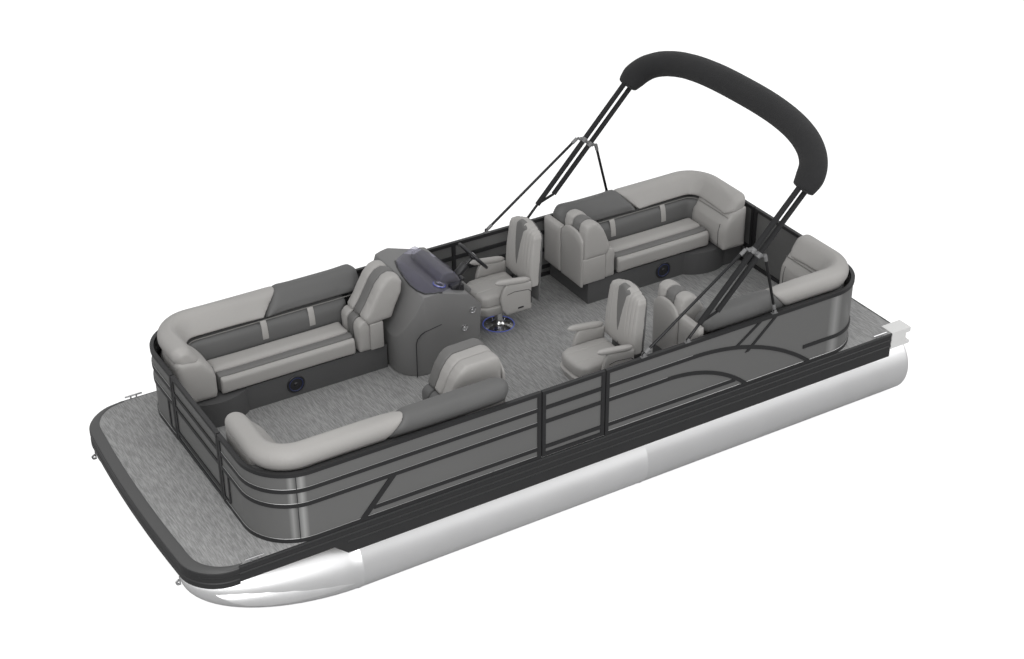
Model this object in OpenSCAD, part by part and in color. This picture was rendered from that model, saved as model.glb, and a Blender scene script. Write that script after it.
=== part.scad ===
// Twin-tube pontoon boat with four corner lounges, a helm console, two swivel
// chairs, three rail gates and a folded shade frame.
// Millimetres. +X is the bow, +Y is port, +Z is up. The keels stand on Z = 0.

/* [Pontoons] */
// Outside diameter of each tube
tube_d = 631; // [600:1:640]
// Distance from the centreline to the middle of each tube
tube_y = 950; // [930:1:960]
// Height of the tubes' centreline above the keels' underside
tube_z = 321.5; // [321:0.5:325]
// Aft end of the tubes
tube_aft_x = -3530; // [-3560:10:-3500]
// Where the round tube ends and the raised nose begins
nose_aft_x = 2120; // [2000:10:2200]
// Tip of the nose
nose_tip_x = 3490; // [3400:10:3500]

/* [Deck] */
// Beam over the side skirts
beam = 2590; // [2560:2:2600]
// Height of the floor above the keels
floor_z = 817; // [810:1:825]
// Aft edge of the deck
deck_aft_x = -3330; // [-3350:10:-3310]
// Forward edge of the bow nosing
nosing_tip_x = 3530; // [3520:5:3540]
// Corner radius of the bow in plan
bow_corner_r = 330; // [300:5:340]
// Depth of the side skirts
skirt_h = 241; // [200:1:250]

/* [Fence] */
// Height of the fence above the floor
fence_h = 635; // [620:1:650]
// Forward face of the fence
fence_fwd_x = 2920; // [2900:5:2930]
// Aft face of the fence
fence_aft_x = -2935; // [-2945:5:-2925]
// Distance from the centreline to the fence's outer face
fence_y = 1285; // [1280:1:1287]
// Outer corner radius of the fence in plan
fence_r = 420; // [400:5:430]
// Width and depth of the square rails
rail_w = 33; // [30:1:34]
// Thickness of the fence panels
panel_t = 6; // [4:1:8]

/* [Gates] */
// Half width of the bow gateway
bow_gate_y = 485; // [470:5:500]
// Half width of the stern gateway
stern_gate_y = 385; // [375:5:395]
// Aft side of the port gateway
side_gate_aft_x = -112; // [-130:1:-100]
// Forward side of the port gateway
side_gate_fwd_x = 505; // [490:1:520]
// Gap between a gate and its posts
gate_gap = 10; // [8:1:14]

/* [Lounges] */
// Top of the moulded lounge bases
base_top_z = 1050; // [1040:1:1060]
// Top of the seat cushions
seat_top_z = 1235; // [1225:1:1245]
// Wall thickness of the moulded bases
base_wall = 8; // [6:1:10]

/* [Helm] */
// Middle of the steering wheel, fore and aft
wheel_x = -42; // [-50:1:-35]
// Middle of the steering wheel, across
wheel_y = -745; // [-760:1:-735]
// Height of the middle of the steering wheel
wheel_z = 1578; // [1575:1:1590]
// Radius of the wheel's rim
wheel_r = 172; // [165:1:175]
// Rake of the steering column below level
column_rake = 40; // [38:1:42]

/* [Chairs] */
// Post of the helm chair, fore and aft
helm_chair_x = -270; // [-280:1:-260]
// Post of the helm chair, across
helm_chair_y = -700; // [-705:1:-695]
// Post of the guest chair, fore and aft
guest_chair_x = -400; // [-410:1:-390]
// Post of the guest chair, across
guest_chair_y = 730; // [720:1:735]

/* [Shade frame] */
// Main pivot, fore and aft
shade_x = -924; // [-930:1:-918]
// Height of all the shade frame's pivots
shade_z = 1478; // [1476:1:1482]
// Distance from the centreline to the shade frame's side members
shade_y = 1268; // [1264:1:1269]
// Angle of the folded frame above level, leaning aft
shade_angle = 46.7; // [44:0.1:50]
// Foot of the front braces, fore and aft
front_brace_x = -483; // [-490:1:-475]
// Foot of the rear braces, fore and aft
rear_brace_x = -1830; // [-1835:1:-1825]

/* [Hidden] */

$fn = 96;
eps = 0.01;
tube_r = tube_d / 2;
fence_top_z = floor_z + fence_h;
rail_in = fence_y - rail_w;
panel_out = 9;
deck_t = 24;
flooring_t = 4;
skirt_bottom_z = floor_z - skirt_h;
bow_wall_x = fence_fwd_x - rail_w;
stern_wall_x = fence_aft_x + rail_w;
bow_lid = [1215, 2485];
stern_lid = [-2550, -1465];
cap_w = 150;
seat_front_y = 557;
seat_rear_y = 920;
column_dir = [cos(column_rake), 0, -sin(column_rake)];
shade_dir = [-cos(shade_angle), 0, sin(shade_angle)];

// Heights of the underside of the fence's level rails
rail_bottom_z = floor_z;
rail_4_z = 899;
rail_5_z = 990;
rail_3_z = 1142;
rail_2_z = 1275;
rail_top_z = fence_top_z - rail_w;

// Gates: underside, level rails and widths
gate_z0 = floor_z + 12;
gate_levels = [rail_4_z, rail_3_z, rail_2_z];
side_gate_w = side_gate_fwd_x - side_gate_aft_x - 2 * gate_gap;
bow_gate_w = 2 * (bow_gate_y - gate_gap);
stern_gate_w = 2 * (stern_gate_y - gate_gap);

// ---------- shared shapes ----------

// A block from corner to corner
module block(a, b) {
    translate(a) cube(b - a);
}

// A rounded rectangle in plan, symmetric about the centreline
module plan_outline(x0, x1, half_w, r) {
    translate([x0 + r, -half_w]) square([x1 - x0 - 2 * r, 2 * half_w]);
    translate([x0, -half_w + r]) square([x1 - x0, 2 * half_w - 2 * r]);
    for (x = [x0 + r, x1 - r], y = [-half_w + r, half_w - r])
        translate([x, y]) circle(r);
}

// The fence's plan outline, moved in from its outer face
module fence_outline(inset) {
    plan_outline(fence_aft_x + inset, fence_fwd_x - inset, fence_y - inset, fence_r - inset);
}

// A ring that follows the fence between two insets
module fence_ring(inset_0, inset_1, z0, z1) {
    translate([0, 0, z0]) linear_extrude(z1 - z0) difference() {
        fence_outline(inset_0);
        fence_outline(inset_1);
    }
}

// A prism with its outline in X and Z, from y0 to y1
module side_prism(points, y0, y1) {
    translate([0, y1, 0]) rotate([90, 0, 0]) linear_extrude(y1 - y0) polygon(points);
}

// A round bar between two points
module bar(a, b, r) {
    d = b - a;
    len = norm(d);
    translate(a)
        rotate([0, acos(d[2] / len), atan2(d[1], d[0])])
            cylinder(r = r, h = len, $fn = 32);
}

// Places its children on both sides, or mirrored to one
module side(port) {
    if (port) children();
    else mirror([0, 1, 0]) children();
}

// ---------- pontoons ----------

// Underside of the nose at a fraction of its length
function nose_bottom(u) = tube_d * (1 - sqrt(1 - pow(u, 1.8)));

// One sealed tube with its raised nose
module tube_shape() {
    aft_fillet = 40;
    nose_len = nose_tip_x - nose_aft_x;
    steps = 9;
    translate([tube_aft_x, 0, 0]) rotate([0, 90, 0]) rotate_extrude() {
        translate([0, aft_fillet]) square([tube_r, nose_aft_x - tube_aft_x - aft_fillet]);
        square([tube_r - aft_fillet, aft_fillet + 1]);
        translate([tube_r - aft_fillet, aft_fillet]) circle(aft_fillet, $fn = 48);
    }
    hull() for (i = [0:steps]) {
        u = sin(i * 90 / steps) * 0.998;
        rise = nose_bottom(u);
        translate([nose_aft_x + u * nose_len, 0, rise / 2]) rotate([0, 90, 0])
            cylinder(r = max((tube_d - rise) / 2, 4), h = 1, $fn = 48);
    }
}

// One pontoon: tube, keel strip and outer spray fin
module pontoon() {
    tube_shape();
    block([tube_aft_x + 90, -20, -tube_z], [nose_aft_x + 150, 20, -tube_r + 6]);
    side_fin();
}

// Triangular spray fin low on the tube's outer side, widening towards the bow
module side_fin() {
    fin_len = 1000;
    translate([nose_aft_x + 60, 0, -110]) rotate([0, -8, 0]) linear_extrude(8)
        polygon([[0, 270], [0, 300], [fin_len * 0.9, 322], [fin_len, 200], [fin_len * 0.9, 170]]);
}

module pontoon_port() {
    color("gainsboro") translate([0, tube_y, tube_z]) pontoon();
}

module pontoon_starboard() {
    color("gainsboro") translate([0, -tube_y, tube_z]) mirror([0, 1, 0]) pontoon();
}

// Drilled plates on the nose tips
module bow_eyes() {
    eye_x = 3505;
    eye_aft_x = 3488.4;
    color("silver") for (s = [-1, 1]) difference() {
        union() {
            block([eye_aft_x, s * tube_y - 6, 561], [eye_x, s * tube_y + 6, 609]);
            block([eye_aft_x, s * tube_y - 6, 600], [eye_aft_x + 8, s * tube_y + 6, 634]);
            translate([eye_x, s * tube_y - 6, 585]) rotate([-90, 0, 0]) cylinder(r = 24, h = 12);
        }
        translate([0, -tube_y * 2, 0]) block([eye_aft_x - 20, 0, 500], [eye_aft_x, 4 * tube_y, 700]);
        translate([eye_x, s * tube_y - 7, 585]) rotate([-90, 0, 0]) cylinder(r = 10, h = 14);
    }
}

// ---------- structure under the deck ----------

// Upright webs between the tubes and the cross members
module tube_brackets() {
    web_t = 5;
    web_y = 120;
    z_top = floor_z - deck_t - flooring_t - 90;
    color("silver") for (s = [-1, 1], w = [-1, 1]) {
        y = s * tube_y + w * web_y;
        difference() {
            block([deck_aft_x + 60, y - web_t / 2, tube_z + 280],
                  [nose_aft_x, y + web_t / 2, z_top]);
            translate([tube_aft_x, s * tube_y, tube_z]) rotate([0, 90, 0])
                cylinder(r = tube_r, h = 6000);
        }
    }
}

// Channels that carry the deck across both tubes
module cross_members() {
    h = 90;
    w = 45;
    t = 5;
    count = 11;
    span = 2070;
    x0 = deck_aft_x + 90;
    pitch = (3120 - x0) / (count - 1);
    z1 = floor_z - deck_t - flooring_t;
    half = beam / 2 - 26;
    color("silver") for (i = [0:count - 1]) {
        x = x0 + i * pitch;
        y = i == count - 1 ? half - 60 : half;
        side_prism([[x, z1 - h], [x + w, z1 - h], [x + w, z1 - h + t], [x + t, z1 - h + t],
                    [x + t, z1 - t], [x + w, z1 - t], [x + w, z1], [x, z1]], -y, y);
    }
}

// Outboard motor pod between the tubes, with a drilled transom
module motor_pod() {
    half_w = 330;
    x0 = -3390;
    x1 = -2250;
    z0 = 330;
    z1 = floor_z - deck_t - flooring_t - 90;
    t = 6;
    transom_t = 45;
    color("silver") difference() {
        union() {
            difference() {
                side_prism([[x0, z0 + 60], [x0 + 60, z0], [x1 - 250, z0], [x1, z0 + 220],
                            [x1, z1], [x0, z1]], -half_w, half_w);
                side_prism([[x0 + transom_t, z0 + 60], [x0 + transom_t + 30, z0 + t],
                            [x1 - 252, z0 + t], [x1 - t, z0 + 222], [x1 - t, z1 - t],
                            [x0 + transom_t, z1 - t]], t - half_w, half_w - t);
            }
            block([x0, -300, z1 - 1], [x0 + transom_t, 300, floor_z - 20]);
        }
        for (s = [-1, 1]) {
            translate([x0 - 1, s * 163.9, floor_z - 70]) rotate([0, 90, 0])
                cylinder(r = 6.5, h = transom_t + 2);
            translate([x0 - 1, s * 125.4, floor_z - 273.2]) rotate([0, 90, 0])
                cylinder(r = 6.5, h = transom_t + 2);
        }
    }
}

// ---------- deck ----------

// Plan of the deck, with round bow corners and square stern corners
module deck_plan(inset, fwd_x) {
    half_w = beam / 2 - inset;
    r = bow_corner_r - inset;
    translate([deck_aft_x, -half_w]) square([fwd_x - r - deck_aft_x, 2 * half_w]);
    translate([fwd_x - r - 1, -half_w + r]) square([r + 1, 2 * half_w - 2 * r]);
    for (s = [-1, 1]) translate([fwd_x - r, s * (half_w - r)]) circle(r);
}

module deck_board() {
    color("tan") translate([0, 0, floor_z - flooring_t - deck_t]) linear_extrude(deck_t)
        deck_plan(24, nosing_tip_x - 90);
}

module flooring() {
    color("darkgray") translate([0, 0, floor_z - flooring_t]) linear_extrude(flooring_t)
        deck_plan(24, nosing_tip_x - 90);
}

// Ridged black side skirt; its lower edge steps up towards the bow
module side_skirt() {
    plate_in = beam / 2 - 16;
    plate_out = beam / 2 - 8;
    aft = deck_aft_x + 110;
    step_x = 2250;
    fwd = nosing_tip_x - bow_corner_r - 60;
    ridge_r = 8;
    side_prism([[aft, skirt_bottom_z], [step_x, skirt_bottom_z], [step_x + 110, floor_z - 145],
                [fwd, floor_z - 145], [fwd, floor_z - 30], [aft, floor_z - 30]],
               plate_in, plate_out);
    block([aft, beam / 2 - 22, floor_z - 31], [fwd, plate_out, floor_z - 0.2]);
    for (dz = [10, 69, 131]) translate([aft, plate_out - 1, floor_z - dz]) rotate([0, 90, 0])
        cylinder(r = ridge_r, h = (dz == 131 ? step_x : fwd) - aft, $fn = 32);
}

module side_skirt_port() {
    color("dimgray") side_skirt();
}

module side_skirt_starboard() {
    color("dimgray") mirror([0, 1, 0]) side_skirt();
}

// Nosing that bends round the bow, with a sloping top face
module bow_nosing() {
    back_x = nosing_tip_x - 88;
    x0 = nosing_tip_x - bow_corner_r - 60;
    lip = 22;
    layers = [[0, 60, 0], [60, 120, 0], [120, 150, 6], [150, 170, 14]];
    z0 = floor_z - 167;
    color("slategray") difference() {
        for (l = layers) translate([0, 0, z0 + l[0]]) linear_extrude(l[1] - l[0] + eps)
            intersection() {
                deck_plan(l[2], nosing_tip_x - l[2]);
                translate([x0, -beam]) square([beam, 2 * beam]);
            }
        translate([0, 0, z0 - 1]) linear_extrude(200) deck_plan(lip, back_x);
    }
}

// Thin trim across the stern between the corner caps
module stern_trim() {
    half = beam / 2 - cap_w - 10;
    color("black") block([deck_aft_x - 8, -half, floor_z - 60], [deck_aft_x, half, floor_z + 3]);
}

// Pale hollow caps that wrap the two stern corners of the deck
module corner_caps() {
    half = beam / 2;
    color("white") for (port = [true, false]) side(port) difference() {
        block([deck_aft_x - 110, half - cap_w, floor_z - 160],
              [deck_aft_x + 108, half, floor_z + 6]);
        block([deck_aft_x, half - cap_w - 1, floor_z - 161],
              [deck_aft_x + 109, half - 24, floor_z]);
        block([deck_aft_x - 111, half - cap_w + 60, floor_z - 130],
              [deck_aft_x - 60, half + 1, floor_z - 40]);
    }
}

// Low two-horned cleats on the deck edge
module mooring_cleats() {
    color("silver") for (x = [3010, deck_aft_x + 250], s = [-1, 1]) {
        y = s * (beam / 2 - 14);
        for (dx = [-25, 25]) translate([x + dx, y, floor_z + 3]) cylinder(r = 7, h = 22);
        translate([x - 75, y, floor_z + 30]) rotate([0, 90, 0]) cylinder(r = 8, h = 150);
    }
}

// ---------- fence ----------

// One level rail all the way round
module level_rail(z0) {
    fence_ring(0, rail_w, z0, z0 + rail_w);
}

// A post of the side fence or of the end fences
module side_post(x) {
    block([x, rail_in, floor_z], [x + rail_w, fence_y, fence_top_z]);
}

module end_post(x, y) {
    block([x, y, floor_z], [x + rail_w, y + rail_w, fence_top_z]);
}

// A rail on the side fence that bends down aft along an arc
module falling_rail(x_start, x_arc, z_top, r) {
    block([x_arc, rail_in, z_top - rail_w], [x_start, fence_y, z_top]);
    intersection() {
        translate([x_arc, fence_y, z_top - r]) rotate([90, 0, 0]) difference() {
            cylinder(r = r, h = rail_w, $fn = 192);
            translate([0, 0, -1]) cylinder(r = r - rail_w, h = rail_w + 2, $fn = 192);
        }
        block([x_arc - r, 0, floor_z], [x_arc + 1, beam, z_top + 1]);
    }
}

// A slanting bar on the side fence between two heights
module slash(x_top, z_top, x_bottom, z_bottom, w) {
    side_prism([[x_top, z_top], [x_top + w, z_top], [x_bottom + w, z_bottom],
                [x_bottom, z_bottom]], rail_in, fence_y);
}

// A short rail that drops in a round corner beside a gate post
module drop_loop(x, y0, y1, z0, z1) {
    block([x, y0, z0], [x + rail_w, y1 - 40, z0 + 24]);
    block([x, y1 - 24, z0 + 40], [x + rail_w, y1, z1]);
    translate([x, y1 - 40, z0 + 40]) rotate([0, 90, 0]) intersection() {
        difference() {
            cylinder(r = 40, h = rail_w);
            translate([0, 0, -1]) cylinder(r = 16, h = rail_w + 2);
        }
        cube([40, 40, rail_w]);
    }
}

// Rails of the bow half of the port side, up to the side gate
module bow_rails() {
    for (z = [rail_bottom_z, rail_3_z, rail_2_z, rail_top_z]) level_rail(z);
    slash(1800, rail_3_z + 10, 2090, floor_z + 10, 60);
}

module bow_side_rails(x0) {
    block([x0, rail_in, rail_4_z], [2010, fence_y, rail_4_z + rail_w]);
}

// Rails of the stern half of the port side
module stern_rails() {
    for (z = [rail_bottom_z, rail_top_z]) level_rail(z);
    intersection() {
        level_rail(rail_5_z);
        block([fence_aft_x - 1, -beam, 0], [-2180, beam, 2000]);
    }
}

module stern_side_rails(x1) {
    falling_rail(x1, -980, rail_2_z + rail_w, 2050);
    falling_rail(x1, -730, rail_3_z + rail_w, 1270);
    block([-1450, rail_in, rail_4_z], [x1, fence_y, rail_4_z + rail_w]);
    slash(-1700, rail_top_z + 5, -1440, 1240, 36);
    slash(-1860, rail_top_z + 5, -1570, 1160, 36);
}

// Everything on one end of the port side, cut at the gateways
module fence_frame_port_bow() {
    x0 = side_gate_fwd_x;
    color("black") {
        intersection() {
            bow_rails();
            block([x0, bow_gate_y, 0], [fence_fwd_x + 1, beam, 2000]);
        }
        bow_side_rails(x0);
        side_post(x0);
        end_post(bow_wall_x, bow_gate_y);
        drop_loop(bow_wall_x, bow_gate_y + rail_w, bow_gate_y + 150, floor_z + 50, rail_3_z);
    }
}

module fence_frame_port_stern() {
    x1 = side_gate_aft_x;
    color("black") {
        intersection() {
            stern_rails();
            block([fence_aft_x - 1, stern_gate_y, 0], [x1, beam, 2000]);
        }
        intersection() {
            stern_side_rails(x1);
            block([fence_aft_x, 0, 0], [x1, beam, fence_top_z]);
        }
        side_post(x1 - rail_w);
        end_post(fence_aft_x, stern_gate_y);
    }
}

// The starboard side has no gate: the bow part's rails run on past its post to the
// stern part's post
module fence_frame_starboard_bow() {
    x0 = side_gate_fwd_x - rail_w;
    x1 = side_gate_aft_x;
    color("black") mirror([0, 1, 0]) {
        intersection() {
            bow_rails();
            block([x0, bow_gate_y, 0], [fence_fwd_x + 1, beam, 2000]);
        }
        bow_side_rails(x0);
        for (z = [rail_bottom_z, rail_4_z, rail_3_z, rail_2_z, rail_top_z])
            block([x1, rail_in, z], [x0 + 1, fence_y, z + rail_w]);
        side_post(x0);
        end_post(bow_wall_x, bow_gate_y);
        drop_loop(bow_wall_x, bow_gate_y + rail_w, bow_gate_y + 150, floor_z + 50, rail_3_z);
    }
}

module fence_frame_starboard_stern() {
    mirror([0, 1, 0]) fence_frame_port_stern();
}

// Panels fill the fence between the rails
module panel_ring() {
    fence_ring(panel_out, panel_out + panel_t, floor_z, fence_top_z);
}

module fence_panel_port_bow() {
    color("dimgray") difference() {
        intersection() {
            panel_ring();
            block([side_gate_fwd_x, bow_gate_y, 0], [fence_fwd_x, beam, 2000]);
        }
        fence_frame_port_bow();
    }
}

module fence_panel_port_stern() {
    color("dimgray") difference() {
        intersection() {
            panel_ring();
            block([fence_aft_x, stern_gate_y, 0], [side_gate_aft_x, beam, 2000]);
        }
        fence_frame_port_stern();
    }
}

module fence_panel_starboard_bow() {
    color("dimgray") difference() {
        intersection() {
            panel_ring();
            block([side_gate_aft_x, -beam, 0], [fence_fwd_x, -bow_gate_y, 2000]);
        }
        fence_frame_starboard_bow();
    }
}

module fence_panel_starboard_stern() {
    mirror([0, 1, 0]) fence_panel_port_stern();
}

// ---------- gates ----------

// A gate's frame drawn along X from its hinge side, with its outer face on Y = 0.
// It swings towards the face that its two hinge barrels stand on.
module gate_frame(w, levels, hinge_face) {
    for (x = [0, w - rail_w]) block([x, -rail_w, gate_z0], [x + rail_w, 0, fence_top_z]);
    for (z = concat([gate_z0, rail_top_z], levels))
        block([rail_w - 1, -rail_w, z], [w - rail_w + 1, 0, z + rail_w]);
    for (z = [gate_z0 + 70, fence_top_z - 130])
        translate([0, hinge_face, z]) hinge_barrel();
}

// The sheet that fills a gate's frame between its rails
module gate_panel(w, levels) {
    heights = concat([gate_z0], levels, [rail_top_z]);
    for (i = [0:len(heights) - 2])
        block([rail_w, -panel_out - panel_t, heights[i] + rail_w],
              [w - rail_w, -panel_out, heights[i + 1]]);
}

// A barrel in the gap beside the gate, joined to it by a short leaf
module hinge_barrel() {
    h = 60;
    translate([-gate_gap / 2, 0, 0]) cylinder(r = 4, h = h, $fn = 32);
    block([-gate_gap / 2, -1.5, 0], [2, 1.5, h]);
}

// Places a gate drawn along X into each of the three gateways
module in_side_gateway() {
    translate([side_gate_fwd_x - gate_gap, fence_y, 0]) mirror([1, 0, 0]) children();
}

module in_bow_gateway() {
    translate([fence_fwd_x, gate_gap - bow_gate_y, 0]) rotate([0, 0, 90]) mirror([0, 1, 0])
        children();
}

module in_stern_gateway() {
    translate([fence_aft_x, stern_gate_y - gate_gap, 0]) rotate([0, 0, -90]) mirror([0, 1, 0])
        children();
}

module side_gate_frame() {
    color("black") in_side_gateway() gate_frame(side_gate_w, gate_levels, -rail_w);
}

module side_gate_panel() {
    color("dimgray") in_side_gateway() gate_panel(side_gate_w, gate_levels);
}

module bow_gate_frame() {
    color("black") in_bow_gateway() gate_frame(bow_gate_w, gate_levels, 0);
}

module bow_gate_panel() {
    color("dimgray") in_bow_gateway() gate_panel(bow_gate_w, gate_levels);
}

module stern_gate_frame() {
    color("black") in_stern_gateway() gate_frame(stern_gate_w, [], -rail_w);
}

module stern_gate_panel() {
    color("dimgray") in_stern_gateway() gate_panel(stern_gate_w, []);
}

// ---------- lounges ----------
// Each lounge is drawn in its own corner: U runs from the end fence towards
// the middle of the boat and V from the side fence towards the centreline.

// Puts a corner's shapes in place
module corner(bow, port) {
    side(port) {
        if (bow) translate([bow_wall_x, rail_in, 0]) rotate([0, 0, 180]) children();
        else translate([stern_wall_x, rail_in, 0]) mirror([0, 1, 0]) children();
    }
}

// Plan of the fence's inside corner, set in by a gap
module corner_plan(gap, u_end, v_end) {
    r = fence_r - rail_w - gap;
    translate([gap + r, gap]) square([u_end - gap - r, v_end - gap]);
    translate([gap, gap + r]) square([u_end - gap, v_end - gap - r]);
    translate([gap + r, gap + r]) circle(r);
}

// Moulded base: a hollow box with a storage opening under the seat.
// lid holds where the opening starts and ends along U.
module lounge_base(u_end, lid) {
    front_v = rail_in - 587;
    rim = 40;
    arm_u = 385;
    difference() {
        union() {
            translate([0, 0, floor_z]) linear_extrude(base_top_z - floor_z)
                corner_plan(6, u_end, front_v);
            translate([6, front_v - 1, floor_z]) cube([arm_u, 60, base_top_z - floor_z]);
        }
        translate([0, 0, floor_z + base_wall]) linear_extrude(base_top_z - floor_z - 2 * base_wall)
            corner_plan(6 + base_wall, u_end - base_wall, front_v - base_wall);
        block([lid[0] + rim, rail_in - seat_rear_y + rim, floor_z + 2 * base_wall],
              [lid[1] - rim, front_v - rim / 2, base_top_z + 1]);
    }
}

// Section of the backrest: V across, Z up
module back_section() {
    crest_r = 92;
    crest_v = 112;
    foot_v = 322;
    translate([crest_v, 1526]) circle(crest_r);
    polygon([[crest_v - 70, base_top_z + 1], [crest_v - 70, 1460], [crest_v - crest_r, 1526],
             [crest_v + crest_r, 1526], [300, 1405], [foot_v, 1250], [foot_v, base_top_z + 1]]);
}

// Backrest along the side fence, round the corner and along the end fence,
// with an armrest block of a given depth that fills in to the seat
module lounge_back(u_end, v_end, arm_u = 0) {
    r = fence_r - rail_w;
    foot_v = 322;
    if (arm_u > 0) translate([0, v_end, 0]) rotate([90, 0, 0]) linear_extrude(v_end - r)
        polygon([[foot_v - 32, base_top_z + 1], [arm_u, base_top_z + 1], [arm_u, 1300],
                 [arm_u - 23, 1345], [foot_v - 32, 1410]]);
    translate([r, 0, 0]) rotate([90, 0, 90]) linear_extrude(u_end - r) back_section();
    translate([r, r, 0]) rotate([0, 0, 180]) rotate_extrude(angle = 90)
        intersection() {
            translate([r, 0]) mirror([1, 0]) back_section();
            square([r, 3000]);
        }
    translate([0, v_end, 0]) rotate([90, 0, 0]) linear_extrude(v_end - r) back_section();
}

// Lift-up seat cushion
module lounge_seat(lid) {
    front_v = rail_in - seat_front_y;
    rear_v = rail_in - seat_rear_y;
    nose_r = 40;
    z0 = base_top_z + 1;
    translate([lid[0] + 8, 0, 0]) rotate([90, 0, 90]) linear_extrude(lid[1] - lid[0] - 16) {
        translate([rear_v, z0]) square([front_v - rear_v - nose_r, seat_top_z - z0]);
        translate([rear_v, z0]) square([front_v - rear_v, seat_top_z - z0 - nose_r]);
        translate([front_v - nose_r, seat_top_z - nose_r]) circle(nose_r);
    }
}

// Raised chaise back across the lounge's inner end: profile in U and Z
module chaise(points) {
    v0 = 330;
    v1 = rail_in - seat_front_y;
    translate([0, v1, 0]) rotate([90, 0, 0]) linear_extrude(v1 - v0) polygon(points);
}

function bow_u(x) = bow_wall_x - x;
function stern_u(x) = x - stern_wall_x;

bow_lid_u = [bow_u(bow_lid[1]), bow_u(bow_lid[0])];
stern_lid_u = [stern_u(stern_lid[0]), stern_u(stern_lid[1])];

// Profile of a chaise back that leans away from the seat: the seat side first.
// front and rear are where it starts and ends along U.
function chaise_profile(front, rear, top) = [
    [front, base_top_z + 1], [front, seat_top_z + 100], [front + 70, 1400],
    [front + 90, top - 190], [front + 140, top - 70], [front + 200, top - 12],
    [front + 270, top], [front + 350, top - 40], [rear, top - 260], [rear, base_top_z + 1]
];

module bow_port_base() {
    color("dimgray") corner(true, true) lounge_base(2285, bow_lid_u);
}

module bow_starboard_base() {
    color("dimgray") corner(true, false) lounge_base(1960, bow_lid_u);
}

module stern_port_base() {
    color("dimgray") corner(false, true) lounge_base(1830, stern_lid_u);
}

module stern_starboard_base() {
    color("dimgray") corner(false, false) lounge_base(1735, stern_lid_u);
}

module bow_port_backrest() {
    color("silver") corner(true, true) lounge_back(2165, rail_in - 400, 395);
}

module bow_starboard_backrest() {
    color("silver") corner(true, false) lounge_back(1965, rail_in - 550, 395);
}

module stern_port_backrest() {
    color("silver") corner(false, true) lounge_back(1770, rail_in - 430);
}

module stern_starboard_backrest() {
    color("silver") corner(false, false) lounge_back(1770, rail_in - 395);
}

module bow_port_chaise() {
    color("silver") corner(true, true)
        chaise(chaise_profile(bow_lid_u[1] + 8, bow_lid_u[1] + 610, 1764));
}

module bow_starboard_chaise() {
    color("silver") corner(true, false)
        chaise(chaise_profile(bow_lid_u[1] + 8, bow_lid_u[1] + 285, 1740));
}

module stern_port_chaise() {
    color("silver") corner(false, true)
        chaise(chaise_profile(stern_lid_u[1] + 8, stern_lid_u[1] + 400, 1652));
}

module stern_starboard_chaise() {
    color("silver") corner(false, false)
        chaise(chaise_profile(stern_lid_u[1] + 8, stern_lid_u[1] + 400, 1680));
}

module bow_port_seat() {
    color("lightgray") corner(true, true) lounge_seat(bow_lid_u);
}

module bow_starboard_seat() {
    color("lightgray") corner(true, false) lounge_seat(bow_lid_u);
}

module stern_port_seat() {
    color("lightgray") corner(false, true) lounge_seat(stern_lid_u);
}

module stern_starboard_seat() {
    color("lightgray") corner(false, false) lounge_seat(stern_lid_u);
}

// ---------- helm ----------

// Side profile of the console, shrunk by a wall
function console_profile(w) = [
    [170 + w, floor_z + w], [905 - w, floor_z + w], [905 - w, 1170 - w / 2],
    [700 - w, 1596 - w], [560, 1604 - w], [262 + w / 3, 1506 - w], [142 + w, 1366 - w / 3]
];

// Plan of the console, with a round forward corner on the aisle side
module console_plan(w) {
    r = 240 - w;
    x1 = 905 - w;
    y1 = -288 - w;
    y0 = -1236 + w;
    translate([100, y0]) square([x1 - r - 100, y1 - y0]);
    translate([100, y0]) square([x1 - 100, y1 - r - y0]);
    translate([x1 - r, y1 - r]) circle(r);
}

module console_shape(w) {
    intersection() {
        side_prism(console_profile(w), -1300, 0);
        translate([0, 0, floor_z - 1]) linear_extrude(900) console_plan(w);
    }
}

module console() {
    color("dimgray") difference() {
        console_shape(0);
        console_shape(10);
        column_hole();
    }
}

// Clearance for the helm bearing in the console's sloping face
module column_hole() {
    translate([wheel_x, wheel_y, wheel_z] + 120 * column_dir)
        rotate([0, 90 + column_rake, 0]) cylinder(r = 40, h = 200);
}

// Curved screen round the front and inboard edge of the console top
module windscreen() {
    z0 = 1606;
    r = 190;
    t = 6;
    color("lightblue") translate([0, 0, z0]) linear_extrude(105) difference() {
        screen_plan(0, r);
        screen_plan(t, r - t);
        translate([-200, -1300]) square([460, 1500]);
        translate([-200, -1300]) square([1200, 340]);
    }
}

module screen_plan(inset, r) {
    x1 = 690 - inset;
    y1 = -320 - inset;
    translate([0, -1280]) square([x1 - r, 1280 + y1]);
    translate([0, -1280]) square([x1, 1280 + y1 - r]);
    translate([x1 - r, y1 - r]) circle(r);
}

// Bearing, throttle box and cup ring on the console
module dash() {
    color("black") {
        difference() {
            translate([wheel_x, wheel_y, wheel_z] + 122 * column_dir)
                rotate([0, 90 + column_rake, 0]) cylinder(r = 39.5, h = 110);
            translate([wheel_x, wheel_y, wheel_z] + 121 * column_dir)
                rotate([0, 90 + column_rake, 0]) cylinder(r = 12.06, h = 60);
        }
        throttle();
    }
}

// Throttle box with its lever, on the aisle side of the console top
module throttle() {
    side_prism([[300, 1518.7], [400, 1551.6], [400, 1592], [312, 1575], [300, 1560]],
               -420, -360);
    bar([350, -350, 1562], [320, -350, 1640], 9);
    translate([320, -350, 1640]) sphere(16, $fn = 32);
    translate([350, -361, 1562]) rotate([-90, 0, 0]) cylinder(r = 14, h = 20, $fn = 32);
}

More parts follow.
